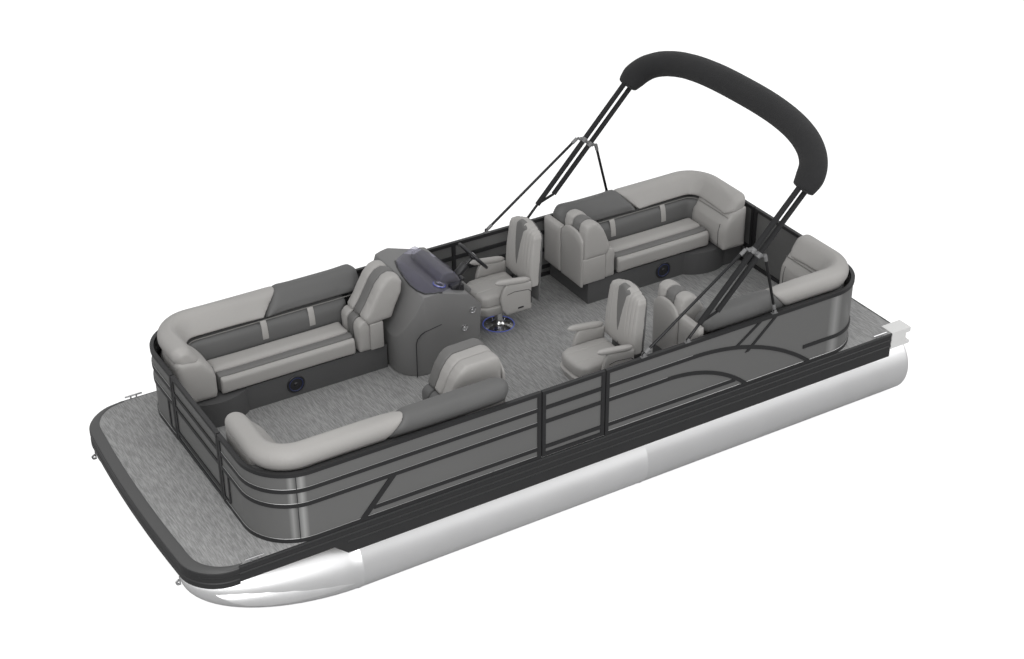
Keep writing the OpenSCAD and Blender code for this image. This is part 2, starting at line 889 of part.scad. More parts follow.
// Wheel with three spokes, a hub and the shaft into its bearing
module steering_wheel() {
    rim_r = 14;
    color("black") translate([wheel_x, wheel_y, wheel_z]) rotate([0, 90 + column_rake, 0]) {
        rotate_extrude() translate([wheel_r - rim_r, 0]) circle(rim_r, $fn = 32);
        cylinder(r = 42, h = 40, center = true);
        cylinder(r = 12, h = 170);
        for (a = [0, 120, 240]) rotate([0, 0, a]) translate([30, -13, 0])
            cube([wheel_r - rim_r - 34, 26, 8]);
    }
}

// ---------- chairs ----------

// Floor plate, post and bearing plate of a chair
module pedestal(x, y) {
    color("silver") translate([x, y, floor_z]) {
        cylinder(r = 140, h = 10);
        cylinder(r = 75, h = 24);
        cylinder(r = 38, h = 185);
        translate([0, 0, 180]) cylinder(r = 90, h = 12);
    }
}

// Seat shell, cushion and two armrests of a swivel chair, on its own axis
module chair_seat() {
    half_w = 212;
    arm_out = 252;
    arm_in = 196;
    z0 = floor_z + 197;
    seat_z = 1262;
    arm_z = 1408;
    cylinder(r = 90, h = 12);
    translate([0, 0, 11]) linear_extrude(seat_z - z0 - 11) seat_plan(half_w);
    for (s = [-1, 1]) translate([0, s * (arm_in + arm_out) / 2, 0])
        rotate([90, 0, 0]) translate([0, 0, (arm_in - arm_out) / 2])
            linear_extrude(arm_out - arm_in)
                polygon([[-190, 60], [70, 60], [95, 240], [165, arm_z - z0 - 60],
                         [170, arm_z - z0], [-190, arm_z - z0 - 40]]);
}

module seat_plan(half_w) {
    r = 90;
    front = 322;
    rear = -202;
    translate([rear, -half_w]) square([front - rear - r, 2 * half_w]);
    translate([rear, r - half_w]) square([front - rear, 2 * half_w - 2 * r]);
    for (s = [-1, 1]) translate([front - r, s * (half_w - r)]) circle(r);
}

// Backrest of a swivel chair: profile in X and Z, round top corners
module chair_back() {
    half_w = 245;
    top = 1820 - floor_z - 197;
    r = 120;
    intersection() {
        side_prism([[-208, 20], [-208, 260], [-232, top - 60], [-250, top], [-315, top],
                    [-348, top - 60], [-335, 200], [-300, 20]], -half_w, half_w);
        rotate([90, 0, 90]) translate([0, 0, -500]) linear_extrude(500) {
            translate([-half_w, 0]) square([2 * half_w, top - r]);
            translate([r - half_w, 0]) square([2 * half_w - 2 * r, top]);
            for (s = [-1, 1]) translate([s * (half_w - r), top - r]) circle(r);
        }
    }
}

module helm_pedestal() {
    pedestal(helm_chair_x, helm_chair_y);
}

module helm_seat() {
    color("lightgray") translate([helm_chair_x, helm_chair_y, floor_z + 197]) chair_seat();
}

module helm_back() {
    color("lightgray") translate([helm_chair_x, helm_chair_y, floor_z + 197]) chair_back();
}

module guest_pedestal() {
    pedestal(guest_chair_x, guest_chair_y);
}

module guest_seat() {
    color("lightgray") translate([guest_chair_x, guest_chair_y, floor_z + 197]) chair_seat();
}

module guest_back() {
    color("lightgray") translate([guest_chair_x, guest_chair_y, floor_z + 197]) chair_back();
}

// ---------- folded shade frame ----------

// A point in the side plane of the folded frame: s along it, n behind it
function shade_point(s, n, y) =
    [shade_x + s * shade_dir[0] - n * shade_dir[2], y, shade_z + s * shade_dir[2]
     + n * shade_dir[0]];

// Forked foot on the top rail with a cross pin
module shade_foot(x, y) {
    block([x - 28, y - 14, fence_top_z], [x + 28, y + 14, fence_top_z + 7]);
    for (dy = [-13, 9]) difference() {
        union() {
            block([x - 13, y + dy, fence_top_z + 6], [x + 13, y + dy + 4, shade_z]);
            translate([x, y + dy, shade_z]) rotate([-90, 0, 0]) cylinder(r = 13, h = 4);
        }
    }
    translate([x, y - 13, shade_z]) rotate([-90, 0, 0]) cylinder(r = 4, h = 26, $fn = 32);
}

module shade_feet() {
    color("gray") for (x = [shade_x, front_brace_x, rear_brace_x], s = [-1, 1])
        shade_foot(x, s * shade_y);
}

// An eye on a shade pivot
module pivot_eye(x, y) {
    difference() {
        translate([x, y - 8, shade_z]) rotate([-90, 0, 0]) cylinder(r = 13, h = 16);
        translate([x, y - 9, shade_z]) rotate([-90, 0, 0]) cylinder(r = 4.06, h = 18, $fn = 32);
    }
}

// Two side legs on each side: bare tube low down, sleeved tube above
module shade_legs() {
    color("black") for (s = [-1, 1]) {
        y = s * shade_y;
        pivot_eye(shade_x, y);
        bar(shade_point(9, 0, y), shade_point(20, 0, y), 7.8);
        bar(shade_point(14, 0, y), shade_point(170, 0, y), 12.5);
        bar(shade_point(160, 0, y), shade_point(1540, 0, y), 19);
        bar(shade_point(185, 8, y), shade_point(330, 86, y), 12.5);
        translate(shade_point(330, 86, y)) sphere(22);
        bar(shade_point(330, 86, y), shade_point(1540, 86, y), 18);
        bar(shade_point(892, -42, y), shade_point(914, 124, y), 24);
    }
}

// Half width and height of the boot's arch at a fraction of its turn
function arch_y(t) = 1280 * sign(cos(t)) * pow(abs(cos(t)), 2 / 2.7);
function arch_s(t) = 1545 + 465 * pow(abs(sin(t)), 2 / 2.7);

// Padded boot round the folded canopy, an arch swept as rings
module shade_boot() {
    rings = 36;
    sides = 12;
    in_r = 132;
    across_r = 112;
    mid_n = 43;
    angles = [for (i = [0:rings]) i * 180 / rings];
    points = [for (a = angles) for (j = [0:sides - 1])
        let (
            ty = arch_y(min(a + 1.5, 180)) - arch_y(max(a - 1.5, 0)),
            ts = arch_s(min(a + 1.5, 180)) - arch_s(max(a - 1.5, 0)),
            len = norm([ty, ts]),
            ny = ts / len,
            ns = -ty / len,
            k = in_r * cos(j * 360 / sides)
        )
        shade_point(arch_s(a) + k * ns, mid_n + across_r * sin(j * 360 / sides),
                    arch_y(a) + k * ny)];
    faces = concat(
        [[for (j = [0:sides - 1]) j]],
        [[for (j = [sides - 1:-1:0]) rings * sides + j]],
        [for (i = [0:rings - 1]) for (j = [0:sides - 1])
            [i * sides + j, (i + 1) * sides + j,
             (i + 1) * sides + (j + 1) % sides, i * sides + (j + 1) % sides]]
    );
    color("black") difference() {
        polyhedron(points, faces);
        for (s = [-1, 1], n = [0, 86])
            bar(shade_point(1400, n, s * shade_y), shade_point(1562, n, s * shade_y), 20);
    }
}

// Struts from the rail to the clamps on the legs, one each side
module shade_front_braces() {
    top = shade_point(870, -80, 0);
    color("black") for (s = [-1, 1]) {
        y = s * shade_y;
        foot = [front_brace_x, y, shade_z];
        head = [top[0], y, top[2]];
        d = (head - foot) / norm(head - foot);
        pivot_eye(front_brace_x, y);
        bar(foot + 9 * d, foot + 20 * d, 7.8);
        bar(foot + 14 * d, head, 12.5);
    }
}

module shade_rear_braces() {
    top = shade_point(935, 152, 0);
    color("black") for (s = [-1, 1]) {
        y = s * shade_y;
        foot = [rear_brace_x, y, shade_z];
        head = [top[0], y, top[2]];
        d = (head - foot) / norm(head - foot);
        pivot_eye(rear_brace_x, y);
        bar(foot + 9 * d, foot + 20 * d, 7.8);
        bar(foot + 14 * d, head, 12.5);
    }
}

pontoon_port();
pontoon_starboard();
bow_eyes();
tube_brackets();
cross_members();
motor_pod();
deck_board();
flooring();
side_skirt_port();
side_skirt_starboard();
bow_nosing();
stern_trim();
corner_caps();
mooring_cleats();
fence_frame_port_bow();
fence_panel_port_bow();
fence_frame_port_stern();
fence_panel_port_stern();
fence_frame_starboard_bow();
fence_panel_starboard_bow();
fence_frame_starboard_stern();
fence_panel_starboard_stern();
bow_gate_frame();
bow_gate_panel();
side_gate_frame();
side_gate_panel();
stern_gate_frame();
stern_gate_panel();
bow_port_base();
bow_port_backrest();
bow_port_chaise();
bow_port_seat();
bow_starboard_base();
bow_starboard_backrest();
bow_starboard_chaise();
bow_starboard_seat();
stern_port_base();
stern_port_backrest();
stern_port_chaise();
stern_port_seat();
stern_starboard_base();
stern_starboard_backrest();
stern_starboard_chaise();
stern_starboard_seat();
console();
windscreen();
dash();
steering_wheel();
helm_pedestal();
helm_seat();
helm_back();
guest_pedestal();
guest_seat();
guest_back();
shade_feet();
shade_legs();
shade_boot();
shade_front_braces();
shade_rear_braces();
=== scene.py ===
"""Looks of the pontoon boat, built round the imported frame.

Metres. +X is the bow, +Y is port, +Z is up, and the keels stand on Z = 0.
"""
import logging
import math
from dataclasses import dataclass, field
from enum import Enum
from typing import Callable, Optional, Sequence

import bmesh
import bpy
from mathutils import Matrix, Vector


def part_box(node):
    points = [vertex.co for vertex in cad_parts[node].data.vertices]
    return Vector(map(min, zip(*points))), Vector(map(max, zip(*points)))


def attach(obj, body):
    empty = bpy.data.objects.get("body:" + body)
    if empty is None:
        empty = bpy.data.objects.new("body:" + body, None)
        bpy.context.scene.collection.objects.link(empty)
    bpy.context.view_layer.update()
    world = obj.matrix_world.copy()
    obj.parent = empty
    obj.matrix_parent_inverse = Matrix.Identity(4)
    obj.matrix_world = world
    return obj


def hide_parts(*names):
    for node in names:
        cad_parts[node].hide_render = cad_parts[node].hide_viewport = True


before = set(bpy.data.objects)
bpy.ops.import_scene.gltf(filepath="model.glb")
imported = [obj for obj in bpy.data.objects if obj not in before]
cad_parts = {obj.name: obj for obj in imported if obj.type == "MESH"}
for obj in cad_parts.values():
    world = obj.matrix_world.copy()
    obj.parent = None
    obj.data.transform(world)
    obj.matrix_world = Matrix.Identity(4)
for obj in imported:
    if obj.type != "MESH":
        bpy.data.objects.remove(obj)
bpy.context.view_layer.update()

log = logging.getLogger("pontoon_boat")

Point = Sequence[float]
Colour = tuple[float, float, float]


def corner_of(node: str) -> tuple[Vector, Vector]:
    """The lowest and highest corner of a frame node."""
    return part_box(node)


FLOOR_Z = corner_of("flooring")[1].z
HALF_BEAM = corner_of("side_skirt_port")[1].y
FENCE_Y = corner_of("fence_frame_port_bow")[1].y
FENCE_FWD = corner_of("fence_frame_port_bow")[1].x
FENCE_AFT = corner_of("fence_frame_port_stern")[0].x
RAIL = 0.033
FENCE_R = 0.42
RAIL_IN = FENCE_Y - RAIL
WALL_R = FENCE_R - RAIL
BASE_TOP = corner_of("bow_port_base")[1].z
SEAT_TOP = corner_of("bow_port_seat")[1].z
PANEL_FOOT, PANEL_HEAD = 0.850, 1.419
WHEEL_CENTRE = Vector((-0.042, -0.745, 1.578))
COLUMN = Vector((0.766, 0, -0.643))
HULL = "hull"


# ---------------------------------------------------------------- workbench


def clear_bench() -> None:
    """Leave edit mode and put every object down."""
    held = bpy.context.object
    if held is not None and held.mode != "OBJECT":
        bpy.ops.object.mode_set(mode="OBJECT")
    bpy.ops.object.select_all(action="DESELECT")


def take(obj: bpy.types.Object) -> None:
    """Pick one object up, alone."""
    clear_bench()
    obj.select_set(True)
    bpy.context.view_layer.objects.active = obj


def apply_modifier(obj: bpy.types.Object, kind: str, **values: object) -> None:
    """Add a modifier with its values and apply it.

    Args:
        obj: The object to change.
        kind: The modifier's type, such as "BEVEL".
        values: Its settings by name.
    """
    take(obj)
    mod = obj.modifiers.new(kind.lower(), kind)
    for key, value in values.items():
        setattr(mod, key, value)
    bpy.ops.object.modifier_apply(modifier=mod.name)


def line(a: Point, b: Point, steps: int) -> list[Vector]:
    """Evenly spaced points from a to b, both included."""
    return [Vector(a).lerp(Vector(b), i / steps) for i in range(steps + 1)]


def arc(centre: Point, radius: float, start: float, end: float, steps: int) -> list[Vector]:
    """Points on a level arc.

    Args:
        centre: Middle of the arc.
        radius: Its radius.
        start: First angle in degrees from +X.
        end: Last angle in degrees.
        steps: Number of chords.

    Returns:
        The points, both ends included.
    """
    cx, cy, cz = centre
    turns = [math.radians(start + (end - start) * i / steps) for i in range(steps + 1)]
    return [Vector((cx + radius * math.cos(t), cy + radius * math.sin(t), cz)) for t in turns]


class Workpiece:
    """One mesh object on the bench, shaped in edit mode."""

    def __init__(self, name: str) -> None:
        """Name the object an operator has just added, settle it and open it."""
        self.obj: bpy.types.Object = bpy.context.object
        self.obj.name = self.obj.data.name = name
        bpy.ops.object.transform_apply(location=True, rotation=True, scale=True)
        bpy.ops.object.mode_set(mode="EDIT")
        bpy.ops.mesh.select_all(action="SELECT")

    @classmethod
    def block(cls, name: str, lo: Point, hi: Point) -> "Workpiece":
        """A block from corner to corner."""
        clear_bench()
        lo_v, hi_v = Vector(lo), Vector(hi)
        bpy.ops.mesh.primitive_cube_add(size=1, location=(lo_v + hi_v) / 2, scale=hi_v - lo_v)
        return cls(name)

    @classmethod
    def rod(cls, name: str, a: Point, b: Point, radius: float, sides: int = 24) -> "Workpiece":
        """A round bar between two points."""
        clear_bench()
        run = Vector(b) - Vector(a)
        bpy.ops.mesh.primitive_cylinder_add(
            vertices=sides, radius=radius, depth=run.length,
            location=(Vector(a) + Vector(b)) / 2,
            rotation=run.to_track_quat("Z", "Y").to_euler())
        return cls(name)

    @classmethod
    def hoop(cls, name: str, centre: Point, axis: Point, radius: float, wire: float,
             around: int = 48, sides: int = 12) -> "Workpiece":
        """A ring of round wire about an axis."""
        clear_bench()
        bpy.ops.mesh.primitive_torus_add(
            major_radius=radius, minor_radius=wire, major_segments=around,
            minor_segments=sides, location=centre,
            rotation=Vector(axis).to_track_quat("Z", "Y").to_euler())
        return cls(name)

    @classmethod
    def drawn(cls, name: str, points: Sequence[Point], filled: bool = True) -> "Workpiece":
        """An outline drawn point by point.

        Args:
            name: Name of the piece.
            points: The outline's points in order.
            filled: True closes the outline with a face, False leaves a chain.
        """
        clear_bench()
        path = [Vector(p) for p in points]
        bpy.ops.mesh.primitive_plane_add(size=0.01, location=path[0])
        piece = cls(name)
        bpy.ops.mesh.merge(type="CENTER")
        for a, b in zip(path, path[1:] + (path[:1] if filled else [])):
            bpy.ops.mesh.extrude_vertices_move(TRANSFORM_OT_translate={"value": b - a})
        bpy.ops.mesh.select_all(action="SELECT")
        if filled:
            bpy.ops.mesh.remove_doubles(threshold=1e-5)
            bpy.ops.mesh.edge_face_add()
        return piece

    @classmethod
    def lathe(cls, name: str, centre: Point, axis: Point, profile: Sequence[tuple[float, float]],
              steps: int = 48) -> "Workpiece":
        """A turned piece.

        Args:
            name: Name of the piece.
            centre: Where the profile's zero height lies on the axis.
            axis: Direction of the axis.
            profile: (radius, height) pairs from one end to the other.
            steps: Number of segments round the axis.
        """
        up = Vector(axis).normalized()
        side = up.orthogonal().normalized()
        foot = Vector(centre)
        piece = cls.drawn(name, [foot + side * r + up * h for r, h in profile], False)
        bpy.ops.mesh.spin(steps=steps, angle=math.tau, center=foot, axis=up)
        bpy.ops.mesh.select_all(action="SELECT")
        bpy.ops.mesh.remove_doubles(threshold=2e-5)
        return piece

    @classmethod
    def loft(cls, name: str, rings: Sequence[Sequence[Point]]) -> "Workpiece":
        """A closed body whose section changes from ring to ring."""
        piece = cls.drawn(name, rings[0])
        last = [Vector(p) for p in rings[0]]
        for ring in rings[1:]:
            now = [Vector(p) for p in ring]
            bpy.ops.mesh.extrude_region_move(
                TRANSFORM_OT_translate={"value": now[0] - last[0]})
            moved = [p + now[0] - last[0] for p in last]
            mesh = bmesh.from_edit_mesh(piece.obj.data)
            for vert in (v for v in mesh.verts if v.select):
                near = min(range(len(moved)), key=lambda i: (moved[i] - vert.co).length_squared)
                vert.co = now[near]
            bmesh.update_edit_mesh(piece.obj.data)
            last = now
        return piece

    def go(self, step: Point) -> "Workpiece":
        """Extrude what is selected by a step."""
        bpy.ops.mesh.extrude_region_move(TRANSFORM_OT_translate={"value": Vector(step)})
        return self

    def turn(self, centre: Point, degrees: float, steps: int = 12) -> "Workpiece":
        """Sweep what is selected about an upright axis, anticlockwise from above."""
        bpy.ops.mesh.spin(steps=steps, angle=-math.radians(degrees), center=Vector(centre),
                          axis=(0, 0, 1))
        return self

    def swell(self, factors: Point, centre: Point) -> "Workpiece":
        """Scale what is selected about a point."""
        bpy.ops.transform.resize(value=Vector(factors), center_override=Vector(centre))
        return self

    def cut(self, at: Point, facing: Point) -> "Workpiece":
        """Cut away what lies on the facing side of a plane and close the cut."""
        bpy.ops.mesh.select_all(action="SELECT")
        bpy.ops.mesh.bisect(plane_co=Vector(at), plane_no=Vector(facing), use_fill=True,
                            clear_outer=True, clear_inner=False)
        return self

    def finish(self, bevel: float = 0.0, rounds: int = 2, wall: float = 0.0,
               levels: int = 0, smooth: float = 35.0) -> bpy.types.Object:
        """Close the piece and finish its edges.

        Args:
            bevel: Width of rounded edges.
            rounds: Segments in each rounded edge.
            wall: Thickness given to an open sheet.
            levels: Subdivision levels.
            smooth: Largest angle in degrees between faces that shade as one.

        Returns:
            The finished object.
        """
        bpy.ops.mesh.select_all(action="SELECT")
        bpy.ops.mesh.remove_doubles(threshold=1e-5)
        bpy.ops.mesh.normals_make_consistent(inside=False)
        bpy.ops.object.mode_set(mode="OBJECT")
        if wall:
            apply_modifier(self.obj, "SOLIDIFY", thickness=wall, offset=0.0)
        if bevel:
            apply_modifier(self.obj, "BEVEL", width=bevel, segments=rounds,
                           limit_method="ANGLE", angle_limit=math.radians(smooth))
        if levels:
            apply_modifier(self.obj, "SUBSURF", levels=levels, render_levels=levels)
        take(self.obj)
        bpy.ops.object.shade_smooth_by_angle(angle=math.radians(smooth))
        return self.obj


def chain(name: str, points: Sequence[Point], radius: float, sides: int = 24,
          **edges: float) -> list[bpy.types.Object]:
    """Finished round bars from each point to the next.

    Args:
        name: Name of the bars.
        points: The points in order.
        radius: Radius of the bars.
        sides: Sides of each bar.
        edges: Settings of Workpiece.finish.
    """
    return [Workpiece.rod(name, a, b, radius, sides).finish(**edges)
            for a, b in zip(points, points[1:])]


def copied(obj: bpy.types.Object, name: str, move: Matrix) -> bpy.types.Object:
    """A copy with its own mesh, carried by a matrix.

    Args:
        obj: The finished object to copy, not yet riding on a body.
        name: Name of the copy.
        move: Where the copy goes. A mirror is allowed.
    """
    take(obj)
    bpy.ops.object.duplicate()
    twin = bpy.context.object
    twin.name = twin.data.name = name
    twin.data.transform(move)
    if move.determinant() < 0:
        bpy.ops.object.mode_set(mode="EDIT")
        bpy.ops.mesh.select_all(action="SELECT")
        bpy.ops.mesh.flip_normals()
        bpy.ops.object.mode_set(mode="OBJECT")
    return twin


def joined(name: str, parts: Sequence[bpy.types.Object]) -> bpy.types.Object:
    """Join finished objects of one finish into one piece."""
    take(parts[0])
    for part in parts:
        part.select_set(True)
    bpy.ops.object.join()
    whole = bpy.context.object
    whole.name = whole.data.name = name
    return whole


MIRROR = Matrix.Scale(-1, 4, (0, 1, 0))


# ---------------------------------------------------------------- finishes


class Graph:
    """A node tree with a short way to add and wire nodes."""

    def __init__(self, tree: bpy.types.NodeTree) -> None:
        """Work on this tree."""
        self.tree = tree

    def add(self, kind: str, inputs: Optional[dict] = None, **values: object) -> bpy.types.Node:
        """Add a node.

        Args:
            kind: Node type without its "ShaderNode" prefix.
            inputs: Socket name or number to a value or to another node's output.
            values: The node's own settings.
        """
        node = self.tree.nodes.new("ShaderNode" + kind)
        for key, value in values.items():
            setattr(node, key, value)
        return self.wire(node, inputs or {})

    def wire(self, node: bpy.types.Node, inputs: dict) -> bpy.types.Node:
        """Give a node's sockets their values or links."""
        for key, value in inputs.items():
            if isinstance(value, bpy.types.NodeSocket):
                self.tree.links.new(value, node.inputs[key])
            else:
                node.inputs[key].default_value = value
        return node

    def seen(self) -> bpy.types.NodeSocket:
        """1 for rays that reach the camera directly or through glass, else 0."""
        rays = self.add("LightPath")
        return self.math("MAXIMUM", rays.outputs["Is Camera Ray"],
                         rays.outputs["Is Transmission Ray"])

    def math(self, operation: str, *terms: object) -> bpy.types.NodeSocket:
        """A Math node's result."""
        node = self.add("Math", dict(enumerate(terms)), operation=operation)
        return node.outputs[0]

    def group(self, tree: bpy.types.NodeTree, inputs: dict) -> bpy.types.Node:
        """Place a node group."""
        node = self.tree.nodes.new("ShaderNodeGroup")
        node.node_tree = tree
        return self.wire(node, inputs)


def new_group(name: str, inputs: Sequence[tuple[str, str]],
              outputs: Sequence[tuple[str, str]]) -> tuple[Graph, bpy.types.Node, bpy.types.Node]:
    """Make a shader node group with named sockets.

    Args:
        name: Name of the group.
        inputs: (name, socket type) of each input.
        outputs: (name, socket type) of each output.

    Returns:
        The graph, its input node and its output node.
    """
    tree = bpy.data.node_groups.new(name, "ShaderNodeTree")
    for label, kind in inputs:
        tree.interface.new_socket(name=label, in_out="INPUT", socket_type="NodeSocket" + kind)
    for label, kind in outputs:
        tree.interface.new_socket(name=label, in_out="OUTPUT", socket_type="NodeSocket" + kind)
    return Graph(tree), tree.nodes.new("NodeGroupInput"), tree.nodes.new("NodeGroupOutput")


def make_drift() -> bpy.types.NodeTree:
    """Soft variation of tone and gloss over a surface."""
    g, a, z = new_group(
        "tone_drift",
        [("Vector", "Vector"), ("Colour", "Color"), ("Amount", "Float"), ("Scale", "Float"),
         ("Gloss", "Float")],
        [("Colour", "Color"), ("Roughness", "Float"), ("Mask", "Float")])
    wide = g.add("TexNoise", {"Vector": a.outputs[0], "Scale": a.outputs[3], "Detail": 5.0})
    fine = g.add("TexNoise", {"Vector": a.outputs[0], "Detail": 3.0,
                              "Scale": g.math("MULTIPLY", a.outputs[3], 23.0)})
    both = g.math("ADD", g.math("MULTIPLY", wide.outputs[0], 0.7),
                  g.math("MULTIPLY", fine.outputs[0], 0.3))
    swing = g.math("SUBTRACT", both, 0.5)
    gain = g.math("ADD", 1.0, g.math("MULTIPLY", g.math("MULTIPLY", swing, 2.0), a.outputs[2]))
    tone = g.add("VectorMath", {0: a.outputs[1], 3: gain}, operation="SCALE")
    g.tree.links.new(tone.outputs[0], z.inputs[0])
    rough = g.math("ADD", a.outputs[4], g.math("MULTIPLY", swing, 0.18))
    g.tree.links.new(rough, z.inputs[1])
    g.tree.links.new(both, z.inputs[2])
    return g.tree


def make_grain() -> bpy.types.NodeTree:
    """Pebbled height of coated fabric or moulded plastic."""
    g, a, z = new_group("pebble_grain", [("Vector", "Vector"), ("Pitch", "Float")],
                        [("Height", "Float")])
    per_metre = g.math("DIVIDE", 1.0, a.outputs[1])
    cells = g.add("TexVoronoi", {"Vector": a.outputs[0], "Scale": per_metre})
    lumps = g.add("TexNoise", {"Vector": a.outputs[0], "Detail": 2.0,
                               "Scale": g.math("MULTIPLY", per_metre, 0.35)})
    height = g.math("ADD", g.math("MULTIPLY", cells.outputs[0], 0.6), lumps.outputs[0])
    g.tree.links.new(height, z.inputs[0])
    return g.tree


def make_weave() -> bpy.types.NodeTree:
    """Over-and-under threads in the XY, XZ or YZ plane, whichever faces out."""
    g, a, z = new_group("thread_weave", [("Vector", "Vector"), ("Pitch", "Float")],
                        [("Height", "Float")])
    turn = g.math("DIVIDE", math.pi, a.outputs[1])
    split = g.add("SeparateXYZ", {0: a.outputs[0]})
    waves = [g.math("ABSOLUTE", g.math("SINE", g.math("MULTIPLY", split.outputs[i], turn)))
             for i in range(3)]
    height = g.math("MULTIPLY", g.math("ADD", waves[0], waves[2]), waves[1])
    g.tree.links.new(height, z.inputs[0])
    return g.tree


DRIFT = make_drift()
GRAIN = make_grain()
WEAVE = make_weave()


@dataclass(frozen=True)
class Finish:
    """A surface finish; one material is made from it and shared.

    Attributes:
        label: Material name.
        slot: Slot of the record it belongs to; not used.
        colour: Base colour, linear.
        rough: Roughness.
        metal: Metallic.
        coat: Coat weight.
        drift: How far the tone wanders.
        drift_scale: Wanders per metre.
        pitch: Size of the grain, 0 for none.
        relief: Height of the grain's bump in metres.
        sheen: Sheen weight.
    """

    label: str
    slot: str
    colour: Colour
    rough: float = 0.5
    metal: float = 0.0
    coat: float = 0.0
    drift: float = 0.05
    drift_scale: float = 3.0
    pitch: float = 0.0
    relief: float = 0.0004
    sheen: float = 0.0

    @property
    def title(self) -> str:
        """The material's name, kept apart from the names that the frame brings."""
        return f"{self.label}_finish"

    def start(self) -> tuple[bpy.types.Material, Graph, bpy.types.Node, bpy.types.Node]:
        """A new material with its Principled shader and object coordinates."""
        mat = bpy.data.materials.new(self.title)
        mat.use_nodes = True
        graph = Graph(mat.node_tree)
        shader = mat.node_tree.nodes["Principled BSDF"]
        shader.inputs["Metallic"].default_value = self.metal
        shader.inputs["Coat Weight"].default_value = self.coat
        shader.inputs["Coat Roughness"].default_value = 0.12
        shader.inputs["Sheen Weight"].default_value = self.sheen
        place = graph.add("TexCoord")
        return mat, graph, shader, place

    def tone(self, graph: Graph, shader: bpy.types.Node, place: bpy.types.NodeSocket) -> None:
        """Wire the wandering tone and gloss."""
        drift = graph.group(DRIFT, {"Vector": place, "Colour": (*self.colour, 1.0),
                                    "Amount": self.drift, "Scale": self.drift_scale,
                                    "Gloss": self.rough})
        graph.tree.links.new(drift.outputs["Colour"], shader.inputs["Base Color"])
        graph.tree.links.new(drift.outputs["Roughness"], shader.inputs["Roughness"])

    def bump(self, graph: Graph, shader: bpy.types.Node, height: bpy.types.NodeSocket,
             depth: float) -> None:
        """Wire a height to the shader's normal."""
        node = graph.add("Bump", {"Height": height, "Distance": depth, "Strength": 0.6})
        graph.tree.links.new(node.outputs[0], shader.inputs["Normal"])

    def make(self) -> bpy.types.Material:
        """Build the material."""
        mat, graph, shader, place = self.start()
        self.tone(graph, shader, place.outputs["Object"])
        if self.pitch:
            grain = graph.group(GRAIN, {"Vector": place.outputs["Object"],
                                        "Pitch": self.pitch})
            self.bump(graph, shader, grain.outputs[0], self.relief)
        return mat

    def material(self) -> bpy.types.Material:
        """The shared material, made the first time it is asked for."""
        return bpy.data.materials.get(self.title) or self.make()


@dataclass(frozen=True)
class Vinyl(Finish):
    """Coated upholstery fabric: pebbled, with soft pulls in the cover."""

    pulls: float = 0.003

    def make(self) -> bpy.types.Material:
        """Build the material."""
        mat, graph, shader, place = self.start()
        where = place.outputs["Object"]
        self.tone(graph, shader, where)
        grain = graph.group(GRAIN, {"Vector": where, "Pitch": self.pitch})
        pulls = graph.add("TexNoise", {"Vector": where, "Scale": 9.0, "Detail": 2.0})
        soft = graph.add("Bump", {"Height": pulls.outputs[0], "Distance": self.pulls,
                                  "Strength": 0.5})
        fine = graph.add("Bump", {"Height": grain.outputs[0], "Distance": self.relief,
                                  "Strength": 0.5, "Normal": soft.outputs[0]})
        graph.tree.links.new(fine.outputs[0], shader.inputs["Normal"])
        return mat


@dataclass(frozen=True)
class Woven(Finish):
    """Woven floor covering: threads across the boat in streaks of two greys."""

    streak: Colour = (0.5, 0.5, 0.5)

    def make(self) -> bpy.types.Material:
        """Build the material."""
        mat, graph, shader, place = self.start()
        where = place.outputs["Object"]
        long_way = graph.add("Mapping", {"Vector": where, "Scale": (95.0, 9.0, 1.0)})
        streaks = graph.add("TexNoise", {"Vector": long_way.outputs[0], "Scale": 1.0,
                                         "Detail": 6.0, "Roughness": 0.68})
        patches = graph.add("TexNoise", {"Vector": where, "Scale": 2.6, "Detail": 3.0})
        fleck = graph.add("TexNoise", {"Vector": where, "Scale": 240.0, "Detail": 1.0})
        level = graph.math("ADD", graph.math("MULTIPLY", streaks.outputs[0], 0.8),
                           graph.math("MULTIPLY", fleck.outputs[0], 0.25))
        ramp = graph.add("ValToRGB", {0: level})
        ramp.color_ramp.elements[0].position = 0.43
        ramp.color_ramp.elements[0].color = (*self.colour, 1.0)
        ramp.color_ramp.elements[1].position = 0.62
        ramp.color_ramp.elements[1].color = (*self.streak, 1.0)
        gain = graph.math("ADD", 0.9, graph.math("MULTIPLY", patches.outputs[0], 0.2))
        tone = graph.add("VectorMath", {0: ramp.outputs[0], 3: gain}, operation="SCALE")
        graph.tree.links.new(tone.outputs[0], shader.inputs["Base Color"])
        shader.inputs["Roughness"].default_value = self.rough
        weave = graph.group(WEAVE, {"Vector": where, "Pitch": self.pitch})
        self.bump(graph, shader, weave.outputs[0], self.relief)
        return mat


@dataclass(frozen=True)
class Canvas(Finish):
    """Woven cover cloth with faint folds."""

    def make(self) -> bpy.types.Material:
        """Build the material."""
        mat, graph, shader, place = self.start()
        where = place.outputs["Object"]
        self.tone(graph, shader, where)
        weave = graph.group(WEAVE, {"Vector": where, "Pitch": self.pitch})
        folds = graph.add("TexNoise", {"Vector": where, "Scale": 7.0, "Detail": 4.0})
        soft = graph.add("Bump", {"Height": folds.outputs[0], "Distance": 0.012,
                                  "Strength": 0.6})
        fine = graph.add("Bump", {"Height": weave.outputs[0], "Distance": self.relief,
                                  "Strength": 0.6, "Normal": soft.outputs[0]})
        graph.tree.links.new(fine.outputs[0], shader.inputs["Normal"])
        return mat


